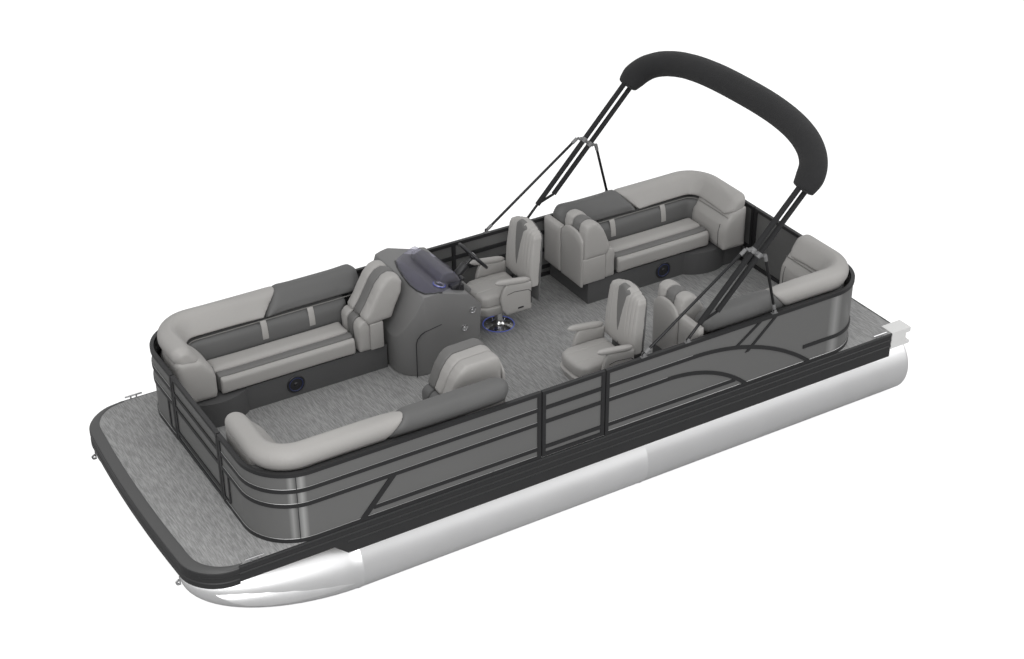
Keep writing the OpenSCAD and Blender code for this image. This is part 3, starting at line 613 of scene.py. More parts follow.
@dataclass(frozen=True)
class Brushed(Finish):
    """Rolled metal with faint lines along the boat."""

    lines: tuple[float, float, float] = (2.0, 160.0, 160.0)

    def make(self) -> bpy.types.Material:
        """Build the material."""
        mat, graph, shader, place = self.start()
        where = place.outputs["Object"]
        self.tone(graph, shader, where)
        along = graph.add("Mapping", {"Vector": where, "Scale": self.lines})
        scratch = graph.add("TexNoise", {"Vector": along.outputs[0], "Scale": 1.0,
                                         "Detail": 4.0})
        self.bump(graph, shader, scratch.outputs[0], self.relief)
        return mat


@dataclass(frozen=True)
class PaintedHighlightPanel(Finish):
    """Satin sheet with painted highlights: lighter bands of base colour where the corners turn."""

    def make(self) -> bpy.types.Material:
        """Build the material."""
        mat, graph, shader, place = self.start()
        where = place.outputs["Object"]
        drift = graph.group(DRIFT, {"Vector": where, "Colour": (*self.colour, 1.0),
                                    "Amount": self.drift, "Scale": self.drift_scale,
                                    "Gloss": self.rough})
        x = graph.add("SeparateXYZ", {0: where}).outputs[0]
        gain: object = 1.0
        # Painted highlights: the base colour is lifted in bands at set X places, on both sides of
        # the bow corner seam and at the stern corner.
        for centre, width, lift in ((2.585, 0.040, 1.5), (2.660, 0.030, 1.1),
                                    (-2.52, 0.075, 1.0)):
            far = graph.math("ABSOLUTE", graph.math("DIVIDE", graph.math(
                "SUBTRACT", x, centre), width))
            near = graph.math("MAXIMUM", graph.math("SUBTRACT", 1.0, far), 0.0)
            gain = graph.math("ADD", gain, graph.math("MULTIPLY", near, lift))
        tone = graph.add("VectorMath", {0: drift.outputs["Colour"], 3: gain},
                         operation="SCALE")
        graph.tree.links.new(tone.outputs[0], shader.inputs["Base Color"])
        graph.tree.links.new(drift.outputs["Roughness"], shader.inputs["Roughness"])
        return mat


@dataclass(frozen=True)
class Tinted(Finish):
    """Tinted clear sheet."""

    def make(self) -> bpy.types.Material:
        """Build the material."""
        mat, graph, shader, place = self.start()
        self.tone(graph, shader, place.outputs["Object"])
        shader.inputs["Transmission Weight"].default_value = 1.0
        shader.inputs["IOR"].default_value = 1.1
        shader.inputs["Alpha"].default_value = 0.42
        return mat


@dataclass(frozen=True)
class Lit(Finish):
    """A lens lit from inside."""

    glow: float = 1.0

    def make(self) -> bpy.types.Material:
        """Build the material."""
        mat, graph, shader, place = self.start()
        where = place.outputs["Object"]
        self.tone(graph, shader, where)
        drift = graph.group(DRIFT, {"Vector": where, "Colour": (*self.colour, 1.0),
                                    "Amount": 0.3, "Scale": 40.0, "Gloss": self.rough})
        graph.tree.links.new(drift.outputs["Colour"], shader.inputs["Emission Color"])
        shader.inputs["Emission Strength"].default_value = self.glow
        return mat


LIGHT_VINYL = Vinyl("light_vinyl", "light_vinyl", (0.350, 0.340, 0.328), rough=0.55, drift=0.07,
                    drift_scale=2.2, pitch=0.0016, relief=0.0003, sheen=0.08)
DARK_VINYL = Vinyl("dark_vinyl", "light_vinyl", (0.105, 0.105, 0.104), rough=0.55, drift=0.08,
                   drift_scale=2.2, pitch=0.0016, relief=0.0003, sheen=0.05)
BAND_VINYL = Vinyl("band_vinyl", "light_vinyl", (0.135, 0.133, 0.130), rough=0.55, drift=0.08,
                   drift_scale=2.2, pitch=0.0016, relief=0.0003, sheen=0.05)
PIPING = Finish("welt_piping", "light_vinyl", (0.20, 0.195, 0.185), rough=0.5, drift=0.1,
                pitch=0.001)
FLOORING = Woven("woven_floor", "woven_floor", (0.205, 0.205, 0.204), rough=0.8, pitch=0.004,
                 relief=0.0006, streak=(0.36, 0.36, 0.357))
TUBE_METAL = Brushed("pontoon_metal", "pontoon_aluminium", (0.90, 0.90, 0.905), rough=0.36,
                     metal=0.75, drift=0.04, relief=0.0002)
FRAME_METAL = Brushed("mill_metal", "structure_aluminium", (0.55, 0.55, 0.56), rough=0.45,
                      metal=0.8, drift=0.12, relief=0.0003)
STEEL = Brushed("polished_steel", "polished_steel", (0.72, 0.72, 0.73), rough=0.16, metal=1.0,
                drift=0.04, relief=0.00008)
PLY = Brushed("deck_ply", "deck_wood", (0.35, 0.25, 0.15), rough=0.7, drift=0.25,
              lines=(3.0, 40.0, 90.0))
TRIM = Brushed("black_trim", "black_trim", (0.034, 0.034, 0.035), rough=0.36, metal=0.25,
               drift=0.15, relief=0.0003)
NOSING = Finish("nosing_grey", "grey_nosing", (0.075, 0.075, 0.075), rough=0.5, drift=0.12,
                pitch=0.002, relief=0.0004)
CAP = Finish("corner_cap_white", "white_cap", (0.74, 0.74, 0.73), rough=0.25, coat=0.4,
             drift=0.04, pitch=0.004, relief=0.0001)
RAIL_PAINT = Finish("rail_black", "rail_paint", (0.016, 0.016, 0.017), rough=0.42, drift=0.15,
                    drift_scale=4.0, pitch=0.003, relief=0.0001)
# Grey panel paint with painted highlight bands at the corners.
PANEL_PAINT_HIGHLIGHTED = PaintedHighlightPanel("panel_grey", "panel_paint", (0.160, 0.160, 0.158), rough=0.36,
                       metal=0.30, coat=0.15, drift=0.06, drift_scale=1.6)
# Bright beads that stand for the highlights along the rail and panel edges: painted highlights.
HIGHLIGHT_BEADS = Brushed("bright_edge", "panel_paint", (0.42, 0.42, 0.42), rough=0.3, metal=0.9,
                    drift=0.08, relief=0.0001)
BASE_PLASTIC = Finish("base_moulding", "base_plastic", (0.086, 0.086, 0.087), rough=0.5,
                      drift=0.12, pitch=0.003, relief=0.0005)
CONSOLE_PLASTIC = Finish("console_moulding", "console_plastic", (0.168, 0.167, 0.166),
                         rough=0.42, drift=0.1, pitch=0.0025, relief=0.0004)
SCREEN = Tinted("tinted_screen", "tinted_screen", (0.31, 0.30, 0.44), rough=0.03, drift=0.02)
BLACK_PLASTIC = Finish("black_plastic", "black_plastic", (0.018, 0.018, 0.02), rough=0.38,
                       drift=0.2, pitch=0.002, relief=0.0003)
CLOTH = Canvas("boot_canvas", "black_canvas", (0.013, 0.013, 0.014), rough=0.85, drift=0.15,
               pitch=0.003, relief=0.0006, sheen=0.06)
BLACK_TUBE = Brushed("black_tube", "black_tube", (0.012, 0.012, 0.013), rough=0.38, metal=0.3,
                     drift=0.15, relief=0.0002, lines=(40.0, 200.0, 40.0))
SLEEVE = Canvas("padded_sleeve", "black_tube", (0.013, 0.013, 0.014), rough=0.85, drift=0.15,
                pitch=0.003, relief=0.0005)
FITTING = Finish("grey_fitting", "grey_fitting", (0.17, 0.17, 0.172), rough=0.45, drift=0.1,
                 pitch=0.002, relief=0.0003)
BLUE_LENS = Lit("blue_lens", "black_plastic", (0.10, 0.14, 0.55), rough=0.2, glow=0.4)
DIM_LENS = Lit("dim_lens", "black_plastic", (0.02, 0.03, 0.10), rough=0.3, glow=0.15)
DARK_GLASS = Finish("dark_display", "black_plastic", (0.02, 0.018, 0.035), rough=0.1, coat=0.6,
                    drift=0.2)


def fit(obj: bpy.types.Object, finish: Finish, body: str = HULL,
        stands_for: Sequence[str] = ()) -> bpy.types.Object:
    """Give a finished object its finish, its body and the nodes it stands for.

    Args:
        obj: The finished object.
        finish: What it is made of.
        body: The frame body that it moves with.
        stands_for: Frame nodes that it replaces.

    Returns:
        The same object.
    """
    obj.data.materials.clear()
    obj.data.materials.append(finish.material())
    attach(obj, body)
    if stands_for:
        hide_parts(*stands_for)
    log.info("%s: %d faces, on %s", obj.name, len(obj.data.polygons), body)
    return obj


def dress(node: str, finish: Finish) -> None:
    """Give a frame node that stays its finish."""
    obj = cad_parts[node]
    obj.data.materials.clear()
    obj.data.materials.append(finish.material())


# ---------------------------------------------------------------- padded pieces


def mesh_object(name: str, verts: Sequence[Point],
                faces: Sequence[tuple[int, ...]]) -> bpy.types.Object:
    """An object with its mesh, linked to the scene."""
    mesh = bpy.data.meshes.new(name)
    mesh.from_pydata(verts, [], faces)
    obj = bpy.data.objects.new(name, mesh)
    bpy.context.scene.collection.objects.link(obj)
    return obj


def shell(name: str, rings: Sequence[Sequence[Point]]) -> bpy.types.Object:
    """A closed padded blank from rings of equal count, capped at both ends."""
    count = len(rings[0])
    verts = [Vector(p) for ring in rings for p in ring]
    faces: list[tuple[int, ...]] = []
    for i in range(len(rings) - 1):
        for j in range(count):
            k = (j + 1) % count
            faces.append((i * count + j, i * count + k, (i + 1) * count + k,
                          (i + 1) * count + j))
    faces.append(tuple(reversed(range(count))))
    last = (len(rings) - 1) * count
    faces.append(tuple(last + j for j in range(count)))
    obj = mesh_object(name, verts, faces)
    take(obj)
    bpy.ops.object.mode_set(mode="EDIT")
    bpy.ops.mesh.select_all(action="SELECT")
    bpy.ops.mesh.normals_make_consistent(inside=False)
    bpy.ops.object.mode_set(mode="OBJECT")
    return obj


def places(mesh: bpy.types.Mesh) -> list[Vector]:
    """Copies of a mesh's vertex places."""
    return [v.co.copy() for v in mesh.vertices]


def stuff(obj: bpy.types.Object, voxel: float, cap: float, pressure: float = 4.0,
          frames: int = 20) -> bpy.types.Object:
    """Stuff a padded blank by a short cloth simulation.

    Args:
        obj: The closed blank, a little smaller than the pad.
        voxel: Cell of the remesh in metres.
        cap: How far a point may move.
        pressure: Pressure inside the cover.
        frames: Length of the simulation.

    Returns:
        The same object with its simulated shape.
    """
    take(obj)
    obj.data.remesh_voxel_size = voxel
    bpy.ops.object.voxel_remesh()
    start = places(obj.data)
    mod = obj.modifiers.new("cover", "CLOTH")
    mod.settings.use_pressure = True
    mod.settings.uniform_pressure_force = pressure
    mod.settings.effector_weights.gravity = 0.0
    mod.settings.quality = 3
    scene = bpy.context.scene
    for step in range(1, frames + 1):
        scene.frame_set(step)
    blown = obj.evaluated_get(bpy.context.evaluated_depsgraph_get())
    moved = [v.co - s for v, s in zip(blown.data.vertices, start)]
    obj.modifiers.remove(mod)
    for vert, s, d in zip(obj.data.vertices, start, moved):
        vert.co = s + (d if d.length <= cap else d.normalized() * cap)
    scene.frame_set(1)
    apply_modifier(obj, "CORRECTIVE_SMOOTH", iterations=4, factor=0.5, use_only_smooth=True)
    apply_modifier(obj, "SUBSURF", levels=1, render_levels=1)
    bpy.ops.object.shade_smooth()
    return obj


def sew(obj: bpy.types.Object, distance: Callable[[Vector], float], depth: float,
        width: float) -> bpy.types.Object:
    """Press a sewn channel into a pad.

    Args:
        obj: The stuffed pad.
        distance: How far a point is from the seam, in metres.
        depth: Depth of the channel.
        width: Half width over which it fades.
    """
    normals = [v.normal.copy() for v in obj.data.vertices]
    for vert, normal in zip(obj.data.vertices, normals):
        near = distance(vert.co) / width
        if abs(near) < 3:
            vert.co -= normal * depth * math.exp(-near * near)
    return obj


def pad(obj: bpy.types.Object, finish: Finish, body: str = HULL,
        stands_for: Sequence[str] = ()) -> bpy.types.Object:
    fit(obj, finish, body, stands_for)
    return obj


# ---------------------------------------------------------------- hull


@dataclass
class Pontoon:
    """One tube with its raised nose, keel, weld beads and spray strake."""

    y: float
    node: str
    radius: float = 0.3155
    axis_z: float = 0.3215
    aft_x: float = -3.53
    nose_x: float = 2.12
    tip_x: float = 3.49
    seams: tuple[float, ...] = (-0.58, 2.12)
    sides: int = 96

    def nose(self, x: float) -> tuple[float, float]:
        """Centre height and radius of the nose at x."""
        u = min(max((x - self.nose_x) / (self.tip_x - self.nose_x), 0.0), 0.9995)
        rise = 2 * self.radius * (1 - math.sqrt(1 - u ** 1.8))
        return self.axis_z + rise / 2, max(self.radius - rise / 2, 0.004)

    def stations(self) -> list[tuple[float, float, float]]:
        """(x, centre height, radius) from the aft end to the tip."""
        out = []
        for i in range(7):
            t = math.radians(15 * i)
            out.append((self.aft_x + 0.04 * (1 - math.cos(t)), self.axis_z,
                        self.radius - 0.04 + 0.04 * math.sin(t)))
        for seam in self.seams:
            for dx, dr in ((-0.014, 0.0), (-0.008, 0.0022), (0.0, 0.003), (0.008, 0.0022),
                           (0.014, 0.0)):
                out.append((seam + dx, self.axis_z, self.radius + dr))
        for i in range(1, 23):
            x = self.nose_x + 0.014 + (self.tip_x - self.nose_x - 0.014) * math.sin(
                math.radians(90 * i / 22))
            out.append((x, *self.nose(x)))
        return out

    def build(self) -> None:
        """Model the tube and everything welded to it."""
        clear_bench()
        rows = self.stations()
        x, z, r = rows[0]
        bpy.ops.mesh.primitive_circle_add(
            vertices=self.sides, radius=r, fill_type="NGON", location=(x, self.y, z),
            rotation=(0, math.pi / 2, 0))
        tube = Workpiece(f"{self.node}_tube")
        bpy.ops.mesh.inset(thickness=0.03)
        bpy.ops.mesh.select_all(action="SELECT")
        bpy.ops.mesh.region_to_loop()
        for x1, z1, r1 in rows[1:]:
            tube.go((x1 - x, 0, z1 - z))
            tube.swell((1, r1 / r, r1 / r), (x1, self.y, z1))
            x, z, r = x1, z1, r1
        bpy.ops.mesh.edge_face_add()
        fit(tube.finish(smooth=32), TUBE_METAL, stands_for=[self.node])
        self.keel()
        self.strake()

    def keel(self) -> None:
        """Keel strip under the tube."""
        keel = Workpiece.block(f"{self.node}_keel", (self.aft_x + 0.09, self.y - 0.02, 0.0),
                               (self.nose_x + 0.15, self.y + 0.02, 0.014))
        fit(keel.finish(bevel=0.003), TUBE_METAL)

    def strake(self) -> None:
        """Spray strake low on the nose's outer side."""
        out = math.copysign(1.0, self.y)
        rows = ((2.20, -17, -20, 0.003), (2.32, -11, -20, 0.012), (2.48, -6, -20, 0.020),
                (2.70, 2, -20, 0.030), (2.90, 8, -20, 0.036), (3.07, 10, -19, 0.036),
                (3.17, 9, -14, 0.032), (3.24, 7, -7, 0.024), (3.285, 4, -1, 0.008))
        rings = []
        for x, top, low, proud in rows:
            z, r = self.nose(x)
            ring = []
            for angle, lift in ((top, -0.004), ((top + low) / 2, proud * 0.55), (low, proud),
                                (low - 5, -0.004)):
                t = math.radians(angle)
                ring.append((x, self.y + out * (r + lift) * math.cos(t),
                             z + (r + lift) * math.sin(t)))
            rings.append(ring)
        strake = Workpiece.loft(f"{self.node}_strake", rings)
        fit(strake.finish(bevel=0.003, smooth=28), TUBE_METAL)


@dataclass
class Deck:
    """Floor, skirts, nosing and the small parts on the deck edge."""

    corner: float = 0.33
    inner_corner: float = 0.306
    tip_x: float = 3.53
    inner_x: float = 3.44
    start_x: float = 3.14
    crown: float = 15.0

    def dress_nodes(self) -> None:
        """Finishes of the frame nodes that stay."""
        dress("deck_board", PLY)
        dress("side_skirt_port", TRIM)
        dress("side_skirt_starboard", TRIM)
        dress("stern_trim", TRIM)
        dress("corner_caps", CAP)
        dress("mooring_cleats", STEEL)
        dress("bow_eyes", STEEL)
        for node in ("tube_brackets", "cross_members", "motor_pod"):
            dress(node, FRAME_METAL)

    def edge(self, half: float, tip: float, r: float, z: float) -> list[Vector]:
        """The crowned bow edge in plan from the port side round to starboard."""
        reach = half - r
        slope = math.degrees(reach / self.crown)
        knee = tip - reach * reach / (2 * self.crown)
        port = [Vector((min(self.start_x, knee - r - 0.002), half, z))]
        port += arc((knee - r, reach, z), r, 90, slope, 14)
        for k in range(1, 6):
            y = reach * (1 - k / 5)
            port.append(Vector((tip - y * y / (2 * self.crown), y, z)))
        return port + [Vector((p.x, -p.y, z)) for p in reversed(port[:-1])]

    def covering(self) -> None:
        """Woven covering that follows the crowned bow."""
        y = HALF_BEAM - 0.016
        lo, hi = corner_of("flooring")
        rim = self.edge(y, self.inner_x, self.inner_corner, lo.z)
        aft = [Vector((lo.x, -y, lo.z)), Vector((lo.x, y, lo.z))]
        sheet = Workpiece.drawn("floor_covering", rim + aft)
        sheet.go((0, 0, hi.z - lo.z))
        fit(sheet.finish(bevel=0.001), FLOORING, stands_for=["flooring"])

    def swept(self, name: str, section: Sequence[tuple[float, float]],
              finish: Finish, stands_for: Sequence[str] = ()) -> None:
        """Sweep a section round the bow.

        Args:
            name: Name of the piece.
            section: (inward from the deck edge, up from the floor) pairs.
            finish: What it is made of.
            stands_for: Frame nodes that it replaces.
        """
        rims = [self.edge(HALF_BEAM - o * 0.3 if o > 0.02 else HALF_BEAM - o, self.tip_x - o,
                          max(self.corner - o * 0.3, 0.02), FLOOR_Z + z) for o, z in section]
        rings = [[rim[k] for rim in rims] for k in range(len(rims[0]))]
        piece = shell(name, rings)
        take(piece)
        bpy.ops.object.shade_smooth_by_angle(angle=math.radians(30))
        fit(piece, finish, stands_for=stands_for)

    def nosing(self) -> None:
        """Sloping nosing cap with a dark ridged face under it."""
        self.swept("nosing_cap", [(0.092, 0.0), (0.090, 0.005), (0.080, 0.006), (0.050, 0.002),
                                  (0.022, -0.006), (0.008, -0.012), (0.004, -0.020),
                                  (0.010, -0.026), (0.088, -0.006)], NOSING, ["bow_nosing"])
        self.swept("nosing_face", [(0.010, -0.020), (0.001, -0.026), (0.0, -0.060),
                                   (0.005, -0.066), (0.005, -0.110), (0.0, -0.116),
                                   (0.0, -0.160), (0.008, -0.167), (0.020, -0.167),
                                   (0.020, -0.030)], TRIM)

    def build(self) -> None:
        """Model the deck's own pieces."""
        self.dress_nodes()
        self.covering()
        self.nosing()


# ---------------------------------------------------------------- fence


@dataclass
class Fence:
    """Rails and panels, with bright metal beads along the panel edges as painted highlights."""

    bead: float = 0.0022
    face: float = 0.0075
    levels_bow: tuple[float, ...] = (PANEL_FOOT, 1.142, 1.175, 1.275, 1.308,
                                     PANEL_HEAD)
    levels_stern: tuple[float, ...] = (PANEL_FOOT, PANEL_HEAD)
    front_x: float = 0.538
    rear_x: float = -0.145

    def dress_nodes(self) -> None:
        """Finishes of the frame nodes that stay."""
        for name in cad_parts:
            if name.startswith("fence_frame") or name.endswith("gate_frame"):
                dress(name, RAIL_PAINT)
            if name.startswith("fence_panel") or name.endswith("gate_panel"):
                dress(name, PANEL_PAINT_HIGHLIGHTED)

    def bead_section(self, x: float, y: float, z: float) -> list[Point]:
        """A small diamond in the YZ plane."""
        b = self.bead
        return [(x, y + b, z), (x, y, z + b), (x, y - b, z), (x, y, z - b)]

    def wrap(self, z: float, x_from: float, end_y: float, bow: bool) -> bpy.types.Object:
        """One painted highlight line from the side round a corner to the end fence, on the port
        side.
        """
        y = FENCE_Y - self.face
        cy = FENCE_Y - FENCE_R
        piece = Workpiece.drawn("edge_line", self.bead_section(x_from, y, z))
        if bow:
            cx = FENCE_FWD - FENCE_R
            piece.go((cx - x_from, 0, 0)).turn((cx, cy, 0), -90, 14)
        else:
            cx = FENCE_AFT + FENCE_R
            piece.go((cx - x_from, 0, 0)).turn((cx, cy, 0), 90, 14)
        piece.go((0, end_y - cy, 0))
        return piece.finish(smooth=50)

    def corner_point(self, degrees: float) -> tuple[float, float]:
        """A point on the bow corner's face, turned from the side towards the bow."""
        t, r = math.radians(degrees), FENCE_R - self.face
        return (FENCE_FWD - FENCE_R + r * math.sin(t), FENCE_Y - FENCE_R + r * math.cos(t))

    def build(self) -> None:
        """Model the painted highlight lines of both sides."""
        self.dress_nodes()
        y = FENCE_Y - self.face
        port: list[bpy.types.Object] = []
        for z in self.levels_bow:
            port.append(self.wrap(z, self.front_x, 0.518, True))
        for z in self.levels_stern:
            port.append(self.wrap(z, self.rear_x, 0.418, False))
        for x0, x1, heights in ((self.front_x, 2.0, (0.899, 0.932)),
                                (-1.44, self.rear_x, (0.899, 0.932)),
                                (-0.98, self.rear_x, (1.275, 1.308)),
                                (-0.73, self.rear_x, (1.142, 1.175))):
            for z in heights:
                port += chain("edge_line", [(x0, y, z), (x1, y, z)], self.bead, 6, smooth=60)
        seam_x, seam_y = self.corner_point(17.0)
        seam = Workpiece.rod("panel_seam_port", (seam_x, seam_y, PANEL_FOOT),
                             (seam_x, seam_y, PANEL_HEAD), 0.003, 8).finish()
        seam_twin = copied(seam, "panel_seam_starboard", MIRROR)
        fit(seam, BLACK_PLASTIC)
        fit(seam_twin, BLACK_PLASTIC)
        # The bright beads are painted highlights along the rail and panel edges.
        whole = joined("edge_lines_port", port)
        twin = copied(whole, "edge_lines_starboard", MIRROR)
        fit(whole, HIGHLIGHT_BEADS)
        fit(twin, HIGHLIGHT_BEADS)


# ---------------------------------------------------------------- lounges


class Bow(Enum):
    """Which end of the boat a lounge stands at."""

    YES = 1
    NO = -1


@dataclass
class Lounge:
    """One corner lounge: base, seat, bolsters, arm and chaise."""

    name: str
    bow: Bow
    port: bool
    v_end: float
    lid: tuple[float, float]
    chaise_top: float
    chaise_rear: float
    colour_break: float
    back_end: float
    straps: tuple[float, float]
    bands: tuple[Finish, Finish, Finish] = (LIGHT_VINYL, BAND_VINYL, LIGHT_VINYL)
    roll_bands: tuple[Finish, Finish, Finish] = (LIGHT_VINYL, BAND_VINYL, LIGHT_VINYL)
    leaning: bool = False

    def at(self, u: float, v: float, z: float) -> Vector:
        """A point of the lounge's own corner in the boat's frame."""
        if self.bow is Bow.YES:
            x = FENCE_FWD - RAIL - u
        else:
            x = FENCE_AFT + RAIL + u
        y = RAIL_IN - v
        return Vector((x, y if self.port else -y, z))

    def path(self, u0: float, u1: float, v1: float, step: float = 0.06) -> list[tuple]:
        """Stations (u, v, du, dv) along the side, round the corner and along the end.

        Args:
            u0: Where the run starts on the side fence, the far end.
            u1: Where it leaves the side, WALL_R to go on round the corner.
            v1: Where it ends on the end fence.
            step: Spacing of the stations.

        Returns:
            The foot of each station on the wall and its inward direction.
        """
        out = []
        count = max(int((u0 - u1) / step), 2)
        out += [(u0 + (u1 - u0) * i / count, 0.0, 0.0, 1.0) for i in range(count)]
        if u1 > WALL_R + 1e-6:
            out.append((u1, 0.0, 0.0, 1.0))
            return out
        for i in range(11):
            t = math.radians(90 - 9 * i)
            c, s = math.cos(t), math.sin(t)
            out.append((WALL_R - WALL_R * c, WALL_R - WALL_R * s, c, s))
        count = max(int((v1 - WALL_R) / step), 2)
        out += [(0.0, WALL_R + (v1 - WALL_R) * i / count, 1.0, 0.0)
                for i in range(1, count + 1)]
        return out

    def roll(self, name: str, section: Sequence[tuple[float, float]], path: Sequence[tuple],
             round_start: float = 0.0, round_end: float = 0.0,
             slant_start: float = 0.0, slant_end: float = 0.0) -> bpy.types.Object:
        """A padded roll swept along the wall.

        Args:
            name: Name of the piece.
            section: (inward, up) pairs.
            path: Stations from path().
            round_start: Length over which the first end rounds off.
            round_end: The same at the last end.
            slant_start: Metres that the first end leans along U for each metre of height.
            slant_end: The same at the last end.
        """
        mid_o = sum(p[0] for p in section) / len(section)
        mid_z = sum(p[1] for p in section) / len(section)
        feet = [Vector((u, v)) for u, v, _, _ in path]
        run = [0.0]
        for a, b in zip(feet, feet[1:]):
            run.append(run[-1] + max((b - a).length, 0.03))
        total = run[-1]
        rings = []
        for (u, v, du, dv), far in zip(path, run):
            shrink = 1.0
            for gap, length in ((far, round_start), (total - far, round_end)):
                if length and gap < length:
                    shrink = min(shrink, math.sqrt(max(1 - (1 - gap / length) ** 2, 0.0)))
            shrink = 0.55 + 0.45 * shrink
            ring = []
            for o, z in section:
                oo = mid_o + (o - mid_o) * shrink
                zz = mid_z + (z - mid_z) * shrink
                lean = 0.0
                if slant_start and far < 0.2:
                    lean = slant_start * (zz - mid_z) * (1 - far / 0.2)
                if slant_end and total - far < 0.2:
                    lean = slant_end * (zz - mid_z) * (1 - (total - far) / 0.2)
                ring.append(self.at(u + du * oo + lean * abs(dv), v + dv * oo, zz))
            rings.append(ring)
        return shell(f"{self.name}_{name}", rings)

    def bar_pad(self, name: str, outline: Sequence[tuple[float, float]], v0: float, v1: float,
                cuts: int = 6) -> bpy.types.Object:
        """A pad with its outline in U and Z that runs across the seat from v0 to v1."""
        rings = [[self.at(u, v0 + (v1 - v0) * i / cuts, z) for u, z in outline]
                 for i in range(cuts + 1)]
        return shell(f"{self.name}_{name}", rings)

    def seat_pad(self, name: str, section: Sequence[tuple[float, float]],
                 cuts: int = 24) -> bpy.types.Object:
        """A pad along the seat, its section in V and Z."""
        u0, u1 = self.lid[0] + 0.012, self.lid[1] - 0.012
        rings = [[self.at(u0 + (u1 - u0) * i / cuts, v, z) for v, z in section]
                 for i in range(cuts + 1)]
        return shell(f"{self.name}_{name}", rings)

    def build_back(self) -> None:
        """Crest rolls in two colours and the bolster under them."""
        crest = [(0.050, 1.462), (0.034, 1.500), (0.034, 1.552), (0.058, 1.592),
                 (0.100, 1.608), (0.146, 1.600), (0.186, 1.566), (0.214, 1.520),
                 (0.246, 1.468), (0.280, 1.420), (0.262, 1.404), (0.160, 1.402),
                 (0.070, 1.412)]
        brk = self.colour_break
        light = self.roll("crest_light", crest,
                          self.path(brk - 0.004, WALL_R, self.v_end - 0.008),
                          round_end=0.05, slant_start=0.9)
        pad(stuff(light, 0.018, 0.012), LIGHT_VINYL, stands_for=[f"{self.name}_backrest"])
        dark = self.roll("crest_dark", crest, self.path(self.back_end, brk + 0.004, 0.0),
                         round_start=0.03, slant_end=0.9)
        pad(stuff(dark, 0.018, 0.012), DARK_VINYL)
        low = [(0.050, 1.392), (0.272, 1.390), (0.294, 1.360), (0.308, 1.300), (0.316, 1.230),
               (0.316, 1.150), (0.302, BASE_TOP + 0.006), (0.050, BASE_TOP + 0.006)]
        bolster_end = WALL_R + 0.05
        bolster = self.roll("bolster", low,
                            self.path(self.lid[1] + 0.1, WALL_R, bolster_end), round_end=0.03)
        pad(stuff(bolster, 0.018, 0.008), DARK_VINYL)
        self.arm()
        self.stripe_bars()
        self.piping(crest)

    def arm(self) -> None:
        """Padded arm across the end of the seat, under the crest."""
        far = self.lid[0] - 0.016
        z0 = BASE_TOP + 0.008
        outline = [(0.060, z0), (far - 0.014, z0), (far - 0.002, z0 + 0.05), (far, 1.25),
                   (far - 0.016, 1.315), (far - 0.060, 1.380), (far - 0.12, 1.440),
                   (0.150, 1.470), (0.060, 1.470)]
        block = self.bar_pad("arm", outline, WALL_R - 0.06, self.v_end - 0.006, 8)
        pad(stuff(block, 0.016, 0.008), LIGHT_VINYL)
        welt = [self.at(u, self.v_end - 0.075, z)
                for u, z in ((far - 0.02, z0 + 0.01), (far + 0.006, z0 + 0.03),
                             (far + 0.006, 1.25), (far - 0.012, 1.325))]
        fit(joined(f"{self.name}_arm_welt", chain("arm_welt", welt, 0.004, 8)), DARK_VINYL)

    def stripe_bars(self) -> None:
        """Light upright straps across the dark bolster."""
        bars = []
        for u in self.straps:
            pts = [(0.286, 1.398), (0.306, 1.362), (0.320, 1.300), (0.326, 1.236)]
            ring = [self.at(u, v, z) for v, z in pts]
            ring += [self.at(u, v - 0.012, z) for v, z in reversed(pts)]
            piece = Workpiece.drawn(f"{self.name}_strap", ring)
            piece.go(self.at(u + 0.055, 0, 0) - self.at(u, 0, 0))
            bars.append(piece.finish(bevel=0.003))
        fit(joined(f"{self.name}_straps", bars), LIGHT_VINYL)

    def piping(self, crest: Sequence[tuple[float, float]]) -> None:
        """A sewn welt where the crest meets the bolster."""
        rings = []
        for u, v, du, dv in self.path(self.back_end - 0.02, WALL_R, self.v_end - 0.02, 0.12):
            ring = []
            for k in range(6):
                t = math.tau * k / 6
                o, z = 0.279 + 0.004 * math.cos(t), 1.398 + 0.004 * math.sin(t)
                ring.append(self.at(u + du * o, v + dv * o, z))
            rings.append(ring)
        piece = shell(f"{self.name}_welt", rings)
        take(piece)
        bpy.ops.object.shade_smooth()
        fit(piece, PIPING)

    def build_seat(self) -> None:
        """Seat cushion in three strips: rear, dark band and rounded front."""
        body = f"{self.name}_lid"
        front = RAIL_IN - 0.557
        band0, band1 = RAIL_IN - 0.700, RAIL_IN - 0.610
        rear = RAIL_IN - 0.920
        z0, z1 = BASE_TOP + 0.006, SEAT_TOP - 0.008
        back = [(rear + 0.006, z0), (rear + 0.006, z1 - 0.02), (rear + 0.03, z1),
                (band0 - 0.02, z1), (band0 - 0.004, z1 - 0.006), (band0 - 0.004, z0)]
        nose = [(band1 + 0.004, z0), (band1 + 0.004, z1 - 0.006), (band1 + 0.02, z1),
                (front - 0.035, z1 - 0.002), (front - 0.012, z1 - 0.016),
                (front - 0.006, z1 - 0.045), (front - 0.006, z0 + 0.02), (front - 0.02, z0)]
        band = [(band0 + 0.004, z0), (band0 + 0.004, z1 - 0.008), (band0 + 0.016, z1 - 0.001),
                (band1 - 0.016, z1 - 0.001), (band1 - 0.004, z1 - 0.008), (band1 - 0.004, z0)]
        seat = f"{self.name}_seat"
        pad(stuff(self.seat_pad("seat_rear", back), 0.017, 0.008), LIGHT_VINYL, body, [seat])
        pad(stuff(self.seat_pad("seat_front", nose), 0.016, 0.008), LIGHT_VINYL, body)
        pad(stuff(self.seat_pad("seat_band", band), 0.015, 0.005), BAND_VINYL, body)

